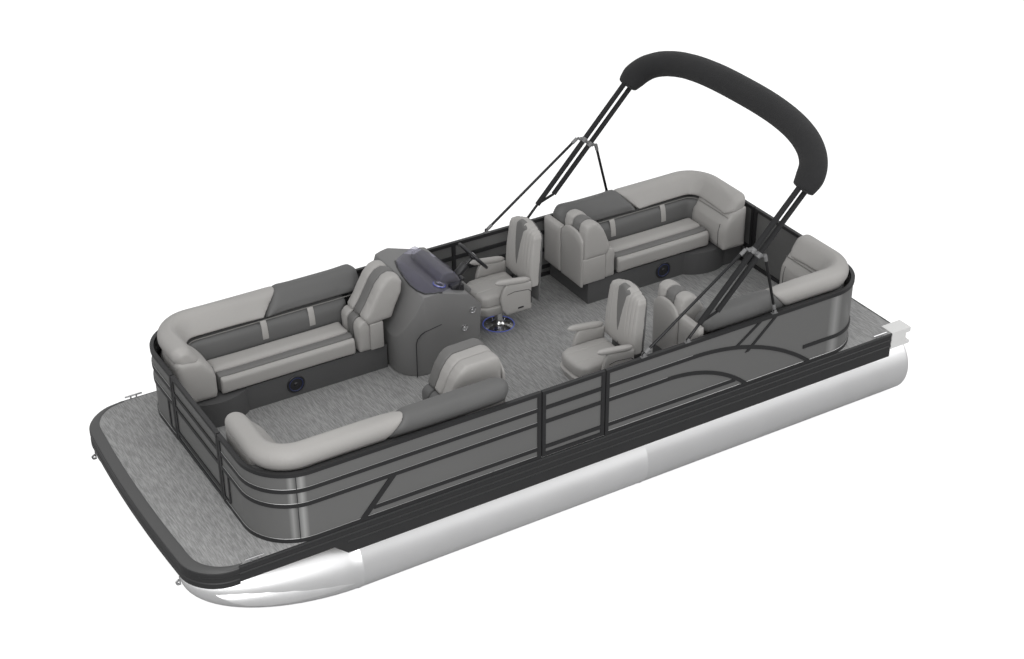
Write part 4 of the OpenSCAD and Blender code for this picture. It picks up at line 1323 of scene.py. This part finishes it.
    def build_chaise(self) -> None:
        """Raised back of the chaise in three bands, with a lumbar roll."""
        front, rear, top = self.lid[1] + 0.012, self.chaise_rear, self.chaise_top
        upper = [(front + 0.050, 1.372), (front + 0.084, 1.46), (front + 0.118, top - 0.13),
                 (front + 0.168, top - 0.058), (front + 0.225, top - 0.016),
                 (rear - 0.105, top - 0.010), (rear - 0.056, top - 0.036),
                 (rear - 0.036, top - 0.100), (rear - 0.036, 1.30), (front + 0.10, 1.30)]
        if self.leaning:
            upper = [(front + 0.060, 1.372), (front + 0.110, 1.45), (front + 0.170, 1.56),
                     (front + 0.225, 1.655), (front + 0.285, 1.710), (front + 0.350, 1.728),
                     (front + 0.415, 1.706), (front + 0.448, 1.645), (front + 0.440, 1.55),
                     (front + 0.375, 1.41), (front + 0.330, 1.31), (front + 0.10, 1.30)]
        lumbar = [(front + 0.006, BASE_TOP + 0.008), (front + 0.006, 1.20),
                  (front + 0.002, 1.27), (front + 0.006, 1.318), (front + 0.032, 1.352),
                  (front + 0.08, 1.36), (front + 0.12, 1.28), (front + 0.12, BASE_TOP + 0.008)]
        v0, v1 = 0.335, RAIL_IN - 0.560
        third = (v1 - v0) / 3
        node = f"{self.name}_chaise"
        for k, (finish, roll_finish) in enumerate(zip(self.bands, self.roll_bands)):
            a, b = v0 + third * k + 0.004, v0 + third * (k + 1) - 0.004
            piece = self.bar_pad(f"chaise_{k}", upper, a, b)
            pad(stuff(piece, 0.016, 0.010), finish, HULL, [node] if k == 0 else [])
            piece = self.bar_pad(f"lumbar_{k}", lumbar, a, b)
            pad(stuff(piece, 0.016, 0.010), roll_finish)
        skirt = Workpiece.block(f"{self.name}_chaise_board",
                                self.at(front + 0.115, v0, BASE_TOP + 0.002),
                                self.at(rear - 0.030, v1, 1.31))
        fit(skirt.finish(bevel=0.01, rounds=3), LIGHT_VINYL)
        if self.leaning:
            return
        if self.bow is Bow.NO:
            self.build_end(rear, v0)
        z0, z1 = BASE_TOP - 0.03, top - 0.10
        panel = [(rear - 0.036, z0), (rear - 0.010, z0), (rear - 0.006, z1 - 0.06),
                 (rear - 0.012, z1), (rear - 0.036, z1 + 0.01)]
        rings = [[self.at(u, v0 - 0.004 + (v1 - v0 + 0.008) * k / 8,
                          z - (0.09 * abs(k / 4 - 1) ** 3 if z > 1.3 else 0.0))
                  for u, z in panel] for k in range(9)]
        pad(stuff(shell(f"{self.name}_chaise_panel", rings), 0.012, 0.006), LIGHT_VINYL)

    def build_end(self, rear: float, v1: float) -> None:
        """Padded end board between the chaise and the fence, under the bolster's end.

        Args:
            rear: Where the chaise's rear face stands along the side.
            v1: The board's inboard edge.
        """
        z0, z1 = BASE_TOP - 0.03, 1.500
        board = [(rear - 0.066, z0), (rear - 0.012, z0), (rear - 0.008, z1 - 0.06),
                 (rear - 0.014, z1), (rear - 0.066, z1 + 0.01)]
        rings = [[self.at(u, 0.030 + (v1 - 0.040) * k / 6, z) for u, z in board]
                 for k in range(7)]
        pad(stuff(shell(f"{self.name}_end_board", rings), 0.014, 0.008), LIGHT_VINYL)

    def speaker(self) -> None:
        """Round speaker on the front of the base."""
        x = 1.802 if self.bow is Bow.YES else -2.02
        side = -1.0 if self.port else 1.0
        y = -side * 0.587
        centre = Vector((x, y, 0.935))
        axis = (0, side, 0)
        grille = Workpiece.lathe(f"{self.name}_speaker", centre, axis,
                                 [(0.0, 0.010), (0.012, 0.012), (0.020, 0.004), (0.058, 0.002),
                                  (0.066, 0.008), (0.078, 0.010), (0.084, 0.004), (0.084, -0.002)])
        fit(grille.finish(), BLACK_PLASTIC)
        hoop = Workpiece.hoop(f"{self.name}_speaker_light", centre + Vector(axis) * 0.009, axis,
                              0.062, 0.003)
        fit(hoop.finish(), DIM_LENS)

    def build(self) -> None:
        """Model the whole lounge."""
        dress(f"{self.name}_base", BASE_PLASTIC)
        self.build_back()
        self.build_seat()
        self.build_chaise()
        self.speaker()


# ---------------------------------------------------------------- helm


@dataclass
class Console:
    """Helm console with its screen, hood, cup ring and fittings."""

    inner_y: float = -0.288
    outer_y: float = -1.236
    fwd_x: float = 0.905
    corner: float = 0.24
    outboard_corner: float = 0.36

    def shell_piece(self) -> None:
        """The moulded body."""
        points = [Vector((0.10, self.outer_y, FLOOR_Z))]
        points += arc((self.fwd_x - self.outboard_corner, self.outer_y + self.outboard_corner,
                       FLOOR_Z), self.outboard_corner, -90, 0, 12)
        points += arc((self.fwd_x - self.corner, self.inner_y - self.corner, FLOOR_Z),
                      self.corner, 0, 90, 14)
        points.append(Vector((0.10, self.inner_y, FLOOR_Z)))
        body = Workpiece.drawn("console_body", points)
        body.go((0, 0, 0.80))
        planes = (((0.905, 1.170), (0.700, 1.596)), ((0.700, 1.596), (0.560, 1.604)),
                  ((0.560, 1.604), (0.262, 1.506)), ((0.262, 1.506), (0.142, 1.366)),
                  ((0.142, 1.366), (0.170, 0.817)))
        for (x0, z0), (x1, z1) in planes:
            normal = Vector((z0 - z1, 0, x1 - x0)) * -1
            body.cut((x0, 0, z0), normal)
        fit(body.finish(bevel=0.022, rounds=4, smooth=20), CONSOLE_PLASTIC,
            stands_for=["console"])

    def seam(self) -> None:
        """Dark joint line between the two mouldings."""
        y = self.inner_y + 0.0015 - 0.003
        points = [(x, y, z) for x, z in ((0.79, FLOOR_Z + 0.01), (0.79, 1.16), (0.775, 1.205),
                                         (0.74, 1.24), (0.70, 1.258), (0.54, 1.284))]
        fit(joined("console_seam", chain("seam", points, 0.0045, 8)), BLACK_PLASTIC)

    def fittings(self) -> None:
        """Two round access plates on the aisle face."""
        for k, (x, z) in enumerate(((0.232, 1.338), (0.314, 1.184))):
            plate = Workpiece.lathe(f"console_plate_{k}", (x, self.inner_y, z), (0, 1, 0),
                                    [(0.0, 0.010), (0.010, 0.010), (0.012, 0.007),
                                     (0.022, 0.007), (0.024, 0.011), (0.030, 0.009),
                                     (0.032, 0.0)])
            fit(plate.finish(), STEEL)

    def cup(self) -> None:
        """Bright cup ring with a lit well."""
        centre = Vector((0.47, -0.44, 1.580))
        up = Vector((-0.31, 0, 0.95)).normalized()
        ring = Workpiece.hoop("cup_ring", centre + up * 0.004, up, 0.046, 0.006)
        fit(ring.finish(), STEEL)
        well = Workpiece.lathe("cup_well", centre, up, [(0.0, 0.0015), (0.041, 0.0015),
                                                       (0.043, 0.004)])
        fit(well.finish(wall=0.001), BLACK_PLASTIC)
        lamp = Workpiece.hoop("cup_light", centre + up * 0.003, up, 0.055, 0.0025)
        fit(lamp.finish(), BLUE_LENS)

    def hood(self) -> None:
        """Instrument hood with its dark display, outboard of the wheel."""
        ring = [(0.11, 1.395), (0.145, 1.36), (0.40, 1.50), (0.44, 1.566), (0.40, 1.63),
                (0.34, 1.640), (0.29, 1.628)]
        hood = Workpiece.drawn("instrument_hood", [(x, -1.04, z) for x, z in ring])
        hood.go((0, 0.54, 0))
        fit(hood.finish(bevel=0.014, rounds=3), CONSOLE_PLASTIC)
        a, b = Vector((0.286, 0, 1.617)), Vector((0.121, 0, 1.405))
        n = Vector((-(a.z - b.z), 0, a.x - b.x)).normalized()
        face = [a + n * 0.003 + Vector((0, -1.01, 0)), b + n * 0.003 + Vector((0, -1.01, 0)),
                b + n * 0.003 + Vector((0, -0.53, 0)), a + n * 0.003 + Vector((0, -0.53, 0))]
        glass = Workpiece.drawn("instrument_display", face)
        glass.go(n * -0.006)
        fit(glass.finish(bevel=0.002), DARK_GLASS, stands_for=["dash"])
        boss = Workpiece.rod("wheel_bearing", WHEEL_CENTRE + COLUMN * 0.10,
                             WHEEL_CENTRE + COLUMN * 0.25, 0.04, 32)
        fit(boss.finish(bevel=0.006), BLACK_PLASTIC)

    def throttle(self) -> None:
        """Throttle box and lever."""
        box = Workpiece.block("throttle_box", (0.27, -0.43, 1.49), (0.39, -0.355, 1.575))
        box_piece = box.finish(bevel=0.008, rounds=3)
        lever = chain("throttle_lever", [(0.335, -0.345, 1.545), (0.30, -0.345, 1.645)],
                      0.009, 16, bevel=0.002)
        knob = Workpiece.lathe("throttle_knob", (0.30, -0.345, 1.645), (0, 1, 0),
                               [(0.0, -0.03), (0.012, -0.03), (0.017, -0.024), (0.017, 0.024),
                                (0.012, 0.03), (0.0, 0.03)], 24)
        fit(joined("throttle_handle", [knob.finish(), *lever]), BLACK_PLASTIC)
        fit(box_piece, BLACK_PLASTIC)

    def screen(self) -> None:
        """Tinted screen that leans aft, in a dark gasket."""
        base = [(0.61, -0.985), (0.65, -0.86), (0.68, -0.70), (0.70, -0.55), (0.695, -0.42),
                (0.665, -0.335), (0.60, -0.30), (0.52, -0.295)]
        top = [(0.45, -0.90), (0.455, -0.82), (0.41, -0.73), (0.39, -0.62), (0.375, -0.50),
               (0.36, -0.42), (0.34, -0.355), (0.30, -0.32)]
        rise = [0.152, 0.155, 0.152, 0.150, 0.140, 0.120, 0.085, 0.030]
        foot = [Vector((x, y, 1.600 if x > 0.55 else 1.592)) for x, y in base]
        head = [Vector((x, y, 1.600 + h)) for (x, y), h in zip(top, rise)]
        rows = [[f.lerp(h, k / 4) + Vector((0.018, 0, 0)) * math.sin(math.pi * k / 4)
                 for f, h in zip(foot, head)] for k in range(5)]
        verts = [p for row in rows for p in row]
        n = len(foot)
        faces = [(i * n + j, i * n + j + 1, (i + 1) * n + j + 1, (i + 1) * n + j)
                 for i in range(4) for j in range(n - 1)]
        obj = mesh_object("windscreen_sheet", verts, faces)
        apply_modifier(obj, "SUBSURF", levels=2, render_levels=2)
        apply_modifier(obj, "SOLIDIFY", thickness=0.005, offset=0.0)
        bpy.ops.object.shade_smooth_by_angle(angle=math.radians(50))
        fit(obj, SCREEN, stands_for=["windscreen"])
        beads = chain("gasket", foot, 0.009, 10, bevel=0.002)
        fit(joined("windscreen_gasket", beads), BLACK_PLASTIC)

    def build(self) -> None:
        """Model the console."""
        self.shell_piece()
        self.seam()
        self.fittings()
        self.cup()
        self.hood()
        self.throttle()
        self.screen()


@dataclass
class Wheel:
    """Steering wheel on its raked column."""

    rake: float = 40.0
    radius: float = 0.158

    def build(self) -> None:
        """Model the rim, spokes and hub."""
        down = Vector((math.cos(math.radians(self.rake)), 0, -math.sin(math.radians(self.rake))))
        up = Vector((math.sin(math.radians(self.rake)), 0, math.cos(math.radians(self.rake))))
        side = Vector((0, 1, 0))
        rim = Workpiece.hoop("wheel_rim", WHEEL_CENTRE, down, self.radius, 0.014, 72, 14)
        fit(rim.finish(), BLACK_PLASTIC, "steering", ["steering_wheel"])
        spokes = []
        for a in (90, 210, 330):
            t = math.radians(a)
            out = side * math.cos(t) + up * math.sin(t)
            across = side * -math.sin(t) + up * math.cos(t)
            root = WHEEL_CENTRE + out * 0.028 + down * 0.006
            far = WHEEL_CENTRE + out * (self.radius - 0.004)
            ring = [root - across * 0.018, far - across * 0.011, far + across * 0.011,
                    root + across * 0.018]
            spoke = Workpiece.drawn("spoke", ring)
            spoke.go(down * 0.007)
            spokes.append(spoke.finish(bevel=0.0025))
        fit(joined("wheel_spokes", spokes), STEEL, "steering")
        hub = Workpiece.lathe("wheel_hub", WHEEL_CENTRE, -down,
                              [(0.0, 0.016), (0.028, 0.014), (0.040, 0.006), (0.042, -0.018),
                               (0.020, -0.024), (0.013, -0.030), (0.013, -0.10)], 40)
        fit(hub.finish(), BLACK_PLASTIC, "steering")
        badge = Workpiece.lathe("wheel_hub_ring", WHEEL_CENTRE, -down,
                                [(0.022, 0.017), (0.026, 0.019), (0.031, 0.015)], 40)
        fit(badge.finish(wall=0.001), STEEL, "steering")


@dataclass
class Chair:
    """A swivel chair on its pedestal."""

    name: str
    x: float
    y: float
    body: str
    twin_of: Optional["Chair"] = None
    soft: list[tuple[bpy.types.Object, Finish, list[str]]] = field(default_factory=list)

    def at(self, p: Point) -> Vector:
        """A point of the chair's own frame, whose zero is at the pedestal's top."""
        return Vector((self.x, self.y, FLOOR_Z + 0.197)) + Vector(p)

    def seat(self) -> bpy.types.Object:
        """Stuffed seat cushion."""
        plan = [(-0.190, -0.175), (-0.190, 0.175), (-0.10, 0.196), (0.10, 0.200), (0.22, 0.192),
                (0.275, 0.160), (0.300, 0.10), (0.306, 0.0), (0.300, -0.10), (0.275, -0.160),
                (0.22, -0.192), (0.10, -0.200), (-0.10, -0.196)]
        rings = []
        for h, grow in ((0.125, 0.94), (0.140, 0.99), (0.190, 1.0), (0.222, 0.985),
                        (0.238, 0.93)):
            rings.append([self.at((x * grow + 0.01 * (1 - grow), y * grow, h))
                          for x, y in plan])
        piece = stuff(shell(f"{self.name}_cushion", rings), 0.010, 0.010)
        x0, y0 = self.x, self.y
        return sew(piece, lambda p: (abs(p.y - y0) - 0.075) if p.z > FLOOR_Z + 0.36
                   and p.x < x0 + 0.27 else 1.0, 0.006, 0.006)

    def skirt(self) -> bpy.types.Object:
        """Moulded and padded seat box under the cushion."""
        plan = [(-0.202, -0.205), (-0.202, 0.205), (-0.10, 0.212), (0.14, 0.212), (0.25, 0.196),
                (0.305, 0.150), (0.322, 0.08), (0.322, -0.08), (0.305, -0.150), (0.25, -0.196),
                (0.14, -0.212), (-0.10, -0.212)]
        rings = []
        for h, grow in ((0.012, 0.60), (0.020, 0.74), (0.050, 0.90), (0.095, 0.97),
                        (0.128, 0.985)):
            rings.append([self.at((x * grow, y * grow, h)) for x, y in plan])
        return stuff(shell(f"{self.name}_seat_box", rings), 0.012, 0.008)

    def back(self) -> list[tuple[bpy.types.Object, Finish, list[str]]]:
        """Backrest shell, two light side pads and the dark tapering middle."""
        top = 0.805

        def slab(name: str, y0: Callable[[float], float], y1: Callable[[float], float],
                 front: float, thick: float, low: float, high: float) -> bpy.types.Object:
            """One upright pad between two side lines."""
            rings = []
            for i in range(13):
                t = i / 12
                h = low + (high - low) * t
                lean = -0.200 - 0.055 * t - front
                bow = 0.018 * math.sin(math.pi * t)
                edge = min(1.0, math.sqrt(max(1 - (max(t - 0.86, 0) / 0.145) ** 2, 0.02)))
                a, b = y0(t), y1(t)
                mid = (a + b) / 2
                a, b = mid + (a - mid) * edge, mid + (b - mid) * edge
                x_front, x_back = lean + bow, lean - thick
                rings.append([self.at((x_front - 0.014, a, h)), self.at((x_front, a * 0.72
                              + b * 0.28, h)), self.at((x_front, a * 0.28 + b * 0.72, h)),
                              self.at((x_front - 0.014, b, h)), self.at((x_back, b, h)),
                              self.at((x_back, a, h))])
            return shell(f"{self.name}_{name}", rings)

        def stripe(t: float) -> float:
            """Half width of the dark middle: wide at the head, narrow at the seat."""
            return 0.018 + 0.145 * max(t - 0.20, 0.0)

        wide = slab("back_pad", lambda t: -(0.240 - 0.022 * t), lambda t: 0.240 - 0.022 * t,
                    0.0, 0.085, 0.235, top)
        mid = slab("back_middle", lambda t: -stripe(t), stripe, -0.007, 0.040, 0.245,
                   top + 0.002)
        rear = slab("back_shell", lambda t: -(0.236 - 0.03 * t), lambda t: 0.236 - 0.03 * t,
                    0.080, 0.024, 0.06, top - 0.012)
        y_mid = self.y
        stuff(wide, 0.010, 0.010)
        for offset in (0.105, 0.145, 0.185):
            sew(wide, lambda p, o=offset: abs(p.y - y_mid) - o, 0.004, 0.006)
        return [(wide, LIGHT_VINYL, []), (stuff(mid, 0.009, 0.005), BAND_VINYL, []),
                (stuff(rear, 0.012, 0.006), DARK_VINYL, [f"{self.name}_back"])]

    def arms(self) -> list[bpy.types.Object]:
        """Two padded armrests with a dark accent along each."""
        out = []
        for s in (-1, 1):
            rings = []
            for i in range(11):
                t = i / 10
                x = -0.20 + 0.365 * t
                h = 0.335 + 0.052 * t
                end = math.sqrt(max(1 - (abs(t - 0.5) * 2) ** 6, 0.08))
                w, d = 0.027 * end, 0.030 * end
                rings.append([self.at((x, s * 0.224 + w * c, h + d * n)) for c, n in
                              ((-1, -0.5), (-1, 0.4), (-0.5, 0.95), (0.5, 0.95), (1, 0.4),
                               (1, -0.5), (0.5, -0.95), (-0.5, -0.95))])
            out.append(stuff(shell(f"{self.name}_arm_{'port' if s > 0 else 'starboard'}",
                                   rings), 0.008, 0.005))
        return out

    def side_panels(self) -> list[bpy.types.Object]:
        """Upholstered cheeks between the seat box and the armrests."""
        out = []
        outline = [(-0.215, 0.03), (0.05, 0.03), (0.10, 0.10), (0.118, 0.20), (0.095, 0.30),
                   (0.06, 0.352), (-0.215, 0.318)]
        for s in (-1, 1):
            rings = [[self.at((x, s * (0.206 + 0.034 * k / 3), z)) for x, z in outline]
                     for k in range(4)]
            out.append(stuff(shell(f"{self.name}_cheek_{'port' if s > 0 else 'starboard'}",
                                   rings), 0.010, 0.006))
        return out

    def build(self) -> None:
        """Model the chair, or copy its twin."""
        if self.twin_of is None:
            self.soft = [(self.seat(), LIGHT_VINYL, [f"{self.name}_seat"]),
                         (self.skirt(), LIGHT_VINYL, [])]
            self.soft += self.back()
            self.soft += [(arm, LIGHT_VINYL, []) for arm in self.arms()]
            self.soft += [(cheek, LIGHT_VINYL, []) for cheek in self.side_panels()]
        else:
            shift = Matrix.Translation((self.x - self.twin_of.x, self.y - self.twin_of.y, 0))
            for obj, finish, nodes in self.twin_of.soft:
                name = obj.name.replace(self.twin_of.name, self.name)
                twin = copied(obj, name, shift)
                self.soft.append((twin, finish,
                                  [n.replace(self.twin_of.name, self.name) for n in nodes]))

    def settle(self) -> None:
        """Fit every piece of the chair."""
        for obj, finish, nodes in self.soft:
            pad(obj, finish, self.body, nodes)
        self.accents()
        self.pedestal()

    def accents(self) -> None:
        """Dark arched trim line and hand slot on each side."""
        parts = []
        for s in (-1, 1):
            y = s * 0.2445
            pts = [(-0.20, 0.10), (-0.20, 0.215), (-0.17, 0.245), (-0.02, 0.262), (0.05, 0.25)]
            parts += chain("accent", [self.at((x, y, z)) for x, z in pts], 0.0035, 8)
            slot = Workpiece.block("slot", self.at((-0.12, y - 0.004, 0.075)),
                                   self.at((-0.06, y + 0.004, 0.092)))
            parts.append(slot.finish(bevel=0.003))
        fit(joined(f"{self.name}_accents", parts), BLACK_PLASTIC, self.body)

    def pedestal(self) -> None:
        """Floor plate, bell and post."""
        foot = Vector((self.x, self.y, FLOOR_Z))
        post = Workpiece.lathe(f"{self.name}_post", foot, (0, 0, 1),
                               [(0.0, 0.001), (0.140, 0.001), (0.140, 0.008), (0.132, 0.013),
                                (0.085, 0.016), (0.070, 0.024), (0.052, 0.040), (0.038, 0.070),
                                (0.038, 0.176), (0.085, 0.180), (0.090, 0.192), (0.0, 0.192)],
                               64)
        fit(post.finish(smooth=40), STEEL, stands_for=[f"{self.name}_pedestal"])
        bolts = []
        for k in range(6):
            t = math.tau * (k + 0.5) / 6
            p = foot + Vector((0.112 * math.cos(t), 0.112 * math.sin(t), 0.013))
            bolts.append(Workpiece.rod("bolt", p, p + Vector((0, 0, 0.006)), 0.007, 6)
                         .finish(bevel=0.001))
        fit(joined(f"{self.name}_bolts", bolts), STEEL)
        glow = Workpiece.hoop(f"{self.name}_base_light", (self.x, self.y, FLOOR_Z + 0.010),
                              (0, 0, 1), 0.1435, 0.0025)
        fit(glow.finish(), BLUE_LENS)


# ---------------------------------------------------------------- folded shade


@dataclass
class Shade:
    """The folded shade frame with its boot."""

    x: float = -0.924
    z: float = 1.478
    y: float = 1.268
    angle: float = 46.7
    tube: float = 0.0125
    rings: int = 72
    sides: int = 20

    def point(self, s: float, n: float, y: float) -> Vector:
        """A point s along the folded frame and n behind it."""
        a = math.radians(self.angle)
        return Vector((self.x - s * math.cos(a) - n * math.sin(a), y,
                       self.z + s * math.sin(a) - n * math.cos(a)))

    def arch(self, t: float) -> tuple[float, float]:
        """Half width and height of the boot's arch at an angle."""
        c, s = math.cos(t), math.sin(t)
        return (1.28 * math.copysign(abs(c) ** (2 / 2.7), c), 1.545 + 0.465 * abs(s) ** (2 / 2.7))

    def boot(self) -> None:
        """Soft cover rolled round the folded canopy."""
        rings = []
        for i in range(self.rings + 1):
            a = math.pi * i / self.rings
            y0, s0 = self.arch(max(a - 0.03, 0.0))
            y1, s1 = self.arch(min(a + 0.03, math.pi))
            y, s = self.arch(a)
            run = Vector((y1 - y0, s1 - s0)).normalized()
            end = min(i, self.rings - i) / 3
            shrink = 0.80 + 0.17 * min(end, 1.0)
            sag = 1 + 0.02 * math.sin(9 * a) + 0.012 * math.sin(23 * a + 1)
            ring = []
            for j in range(self.sides):
                t = math.tau * j / self.sides
                k = 0.132 * math.cos(t) * shrink
                lobes = 1 + 0.035 * math.cos(3 * t + 5 * a)
                ring.append(self.point(s - run.x * k, 0.043 + 0.112 * math.sin(t) * shrink
                                       * lobes * sag, y + run.y * k))
            rings.append(ring)
        piece = stuff(shell("shade_boot_cover", rings), 0.021, 0.012)
        pad(piece, CLOTH, "shade", ["shade_boot"])

    def eye(self, at: Vector) -> list[bpy.types.Object]:
        """The round eye at the foot of a tube, across the boat."""
        half = Vector((0, 0.008, 0))
        return chain("eye", [at - half, at + half], 0.013, bevel=0.002)

    def legs(self) -> None:
        """Tubes, padded sleeves and clamps on both sides."""
        tubes, sleeves, clamps = [], [], []
        for s in (-1, 1):
            y = s * self.y
            for a, b in (((0.011, 0), (0.17, 0)), ((0.185, 0.008), (0.33, 0.086))):
                tubes += chain("leg", [self.point(*a, y), self.point(*b, y)], self.tube, 20,
                               bevel=self.tube / 4)
            tubes += self.eye(Vector((self.x, y, self.z)))
            for n, a, b, r in ((0.0, 0.16, 1.54, 0.024), (0.086, 0.33, 1.54, 0.023)):
                sleeve = Workpiece.rod("sleeve", self.point(a, n, y), self.point(b, n, y), r)
                bpy.ops.mesh.select_all(action="SELECT")
                bpy.ops.mesh.subdivide(number_cuts=1)
                sleeves.append(sleeve.finish(bevel=0.004, rounds=3))
            clamps += self.clamp(y)
        fit(joined("shade_leg_tubes", tubes), BLACK_TUBE, "shade", ["shade_legs"])
        fit(joined("shade_leg_sleeves", sleeves), SLEEVE, "shade")
        fit(joined("shade_clamps", clamps), FITTING, "shade")

    def clamp(self, y: float) -> list[bpy.types.Object]:
        """Moulded double clamp that holds both legs and takes the braces."""
        parts = []
        for n in (0.0, 0.086):
            parts += chain("clamp", [self.point(0.880, n, y), self.point(0.928, n, y)], 0.027,
                           28, bevel=0.005, rounds=3)
        parts += chain("clamp", [self.point(0.896, -0.045, y), self.point(0.912, 0.127, y)],
                       0.015, 20, bevel=0.004, rounds=3)
        half = Vector((0, 0.024, 0))
        for s, n in ((0.884, -0.052), (0.924, 0.134)):
            c = self.point(s, n, y)
            parts += chain("clamp_bolt", [c - half, c + half], 0.012, 20, bevel=0.003)
        return parts

    def braces(self) -> None:
        """Front and rear struts, each with eye ends."""
        for body, node, foot_x, head_s, head_n in (
                ("front_braces", "shade_front_braces", -0.483, 0.870, -0.080),
                ("rear_braces", "shade_rear_braces", -1.830, 0.935, 0.152)):
            parts = []
            ends = []
            for s in (-1, 1):
                y = s * self.y
                foot = Vector((foot_x, y, self.z))
                head = self.point(head_s, head_n, y)
                run = (head - foot).normalized()
                parts += chain("brace", [foot + run * 0.011, head], self.tube, bevel=0.003)
                parts += self.eye(foot)
                ends += chain("brace_end", [head - run * 0.06, head + run * 0.004], 0.0165,
                              bevel=0.004, rounds=3)
                ends += chain("brace_ferrule", [foot + run * 0.016, foot + run * 0.07], 0.0155,
                              bevel=0.003)
            fit(joined(f"{body}_tubes", parts), BLACK_TUBE, body, [node])
            fit(joined(f"{body}_ends", ends), FITTING, body)

    def build(self) -> None:
        """Model the folded shade."""
        dress("shade_feet", FITTING)
        self.boot()
        self.legs()
        self.braces()


# ---------------------------------------------------------------- studio


@dataclass(frozen=True)
class Studio:
    """Floor, light and camera."""

    eye: tuple[float, float, float] = (6.421, 10.736, 8.768)
    azimuth: float = -120.511
    elevation: float = -31.259
    roll: float = -0.484
    lens: float = 59.46
    shift: tuple[float, float] = (0.0086, 0.0037)

    def camera(self) -> None:
        """The camera at its viewing angle."""
        data = bpy.data.cameras.new("camera")
        data.lens = self.lens
        data.shift_x, data.shift_y = self.shift
        data.sensor_width = 36.0
        data.clip_end = 200.0
        cam = bpy.data.objects.new("camera", data)
        bpy.context.scene.collection.objects.link(cam)
        a, e = math.radians(self.azimuth), math.radians(self.elevation)
        look = Vector((math.cos(e) * math.cos(a), math.cos(e) * math.sin(a), math.sin(e)))
        cam.location = self.eye
        turn = Matrix.Rotation(math.radians(self.roll), 3, "Z")
        cam.rotation_euler = (look.to_track_quat("-Z", "Y").to_matrix() @ turn).to_euler()
        bpy.context.scene.camera = cam

    def floor(self) -> None:
        """A pale floor that keeps a soft shadow and shows white."""
        clear_bench()
        bpy.ops.mesh.primitive_plane_add(size=160, location=(0, 0, -0.001))
        floor = bpy.context.object
        floor.name = "studio_floor"
        mat = bpy.data.materials.new("studio_floor")
        mat.use_nodes = True
        graph = Graph(mat.node_tree)
        mat.node_tree.nodes.remove(mat.node_tree.nodes["Principled BSDF"])
        out = mat.node_tree.nodes["Material Output"]
        diffuse = graph.add("BsdfDiffuse", {"Color": (0.30, 0.30, 0.30, 1.0)})
        glow = graph.add("Emission", {"Color": (1, 1, 1, 1), "Strength": graph.math(
            "MULTIPLY", graph.seen(), 0.90)})
        both = graph.add("AddShader", {0: diffuse.outputs[0], 1: glow.outputs[0]})
        graph.tree.links.new(both.outputs[0], out.inputs["Surface"])
        floor.data.materials.append(mat)

    def light(self) -> None:
        """A soft sky, one broad key and a fill."""
        world = bpy.data.worlds.new("studio")
        bpy.context.scene.world = world
        world.use_nodes = True
        graph = Graph(world.node_tree)
        back = world.node_tree.nodes["Background"]
        level = graph.math("ADD", 0.74, graph.math("MULTIPLY", graph.seen(), 0.26))
        graph.tree.links.new(level, back.inputs["Strength"])
        back.inputs["Color"].default_value = (1, 1, 1, 1)
        for name, place, size, power in (
                ("key", (6.0, 6.0, 12.0), 9.0, 420.0),
                ("low", (5.0, 12.0, 4.0), 7.0, 620.0),
                ("fill", (-9.0, 5.0, 7.0), 7.0, 200.0)):
            data = bpy.data.lights.new(name, "AREA")
            data.size = size
            data.energy = power
            lamp = bpy.data.objects.new(name, data)
            bpy.context.scene.collection.objects.link(lamp)
            lamp.location = place
            lamp.rotation_euler = (-Vector(place)).to_track_quat("-Z", "Y").to_euler()

    def build(self) -> None:
        """Set the studio up."""
        self.camera()
        self.floor()
        self.light()
        bpy.context.scene.view_settings.view_transform = "Standard"


def main() -> None:
    """Build every sub-assembly in order."""
    logging.basicConfig(level=logging.INFO, format="%(name)s: %(message)s")
    Studio().build()
    Pontoon(0.95, "pontoon_port").build()
    Pontoon(-0.95, "pontoon_starboard").build()
    Deck().build()
    Fence().build()
    bow_lid = (0.402, 1.672)
    stern_lid = (0.352, 1.437)
    outer_light = (LIGHT_VINYL, LIGHT_VINYL, BAND_VINYL)
    all_dark = (DARK_VINYL, DARK_VINYL, DARK_VINYL)
    for lounge in (
            Lounge("bow_port", Bow.YES, True, 0.852, bow_lid, 1.675, 2.282, 1.14, 2.16,
                   (0.96, 1.40), outer_light, all_dark),
            Lounge("bow_starboard", Bow.YES, False, 0.702, bow_lid, 1.740, 1.957, 1.10,
                   1.96, (0.96, 1.40), leaning=True),
            Lounge("stern_port", Bow.NO, True, 0.822, stern_lid, 1.652, 1.837, 0.95,
                   1.765, (0.62, 1.20)),
            Lounge("stern_starboard", Bow.NO, False, 0.857, stern_lid, 1.680, 1.837,
                   1.00, 1.765, (0.62, 1.20))):
        lounge.build()
    Console().build()
    Wheel().build()
    helm = Chair("helm", -0.270, -0.700, "helm_chair")
    guest = Chair("guest", -0.400, 0.730, "guest_chair", twin_of=helm)
    helm.build()
    guest.build()
    helm.settle()
    guest.settle()
    Shade().build()


if __name__ == "__main__":
    main()
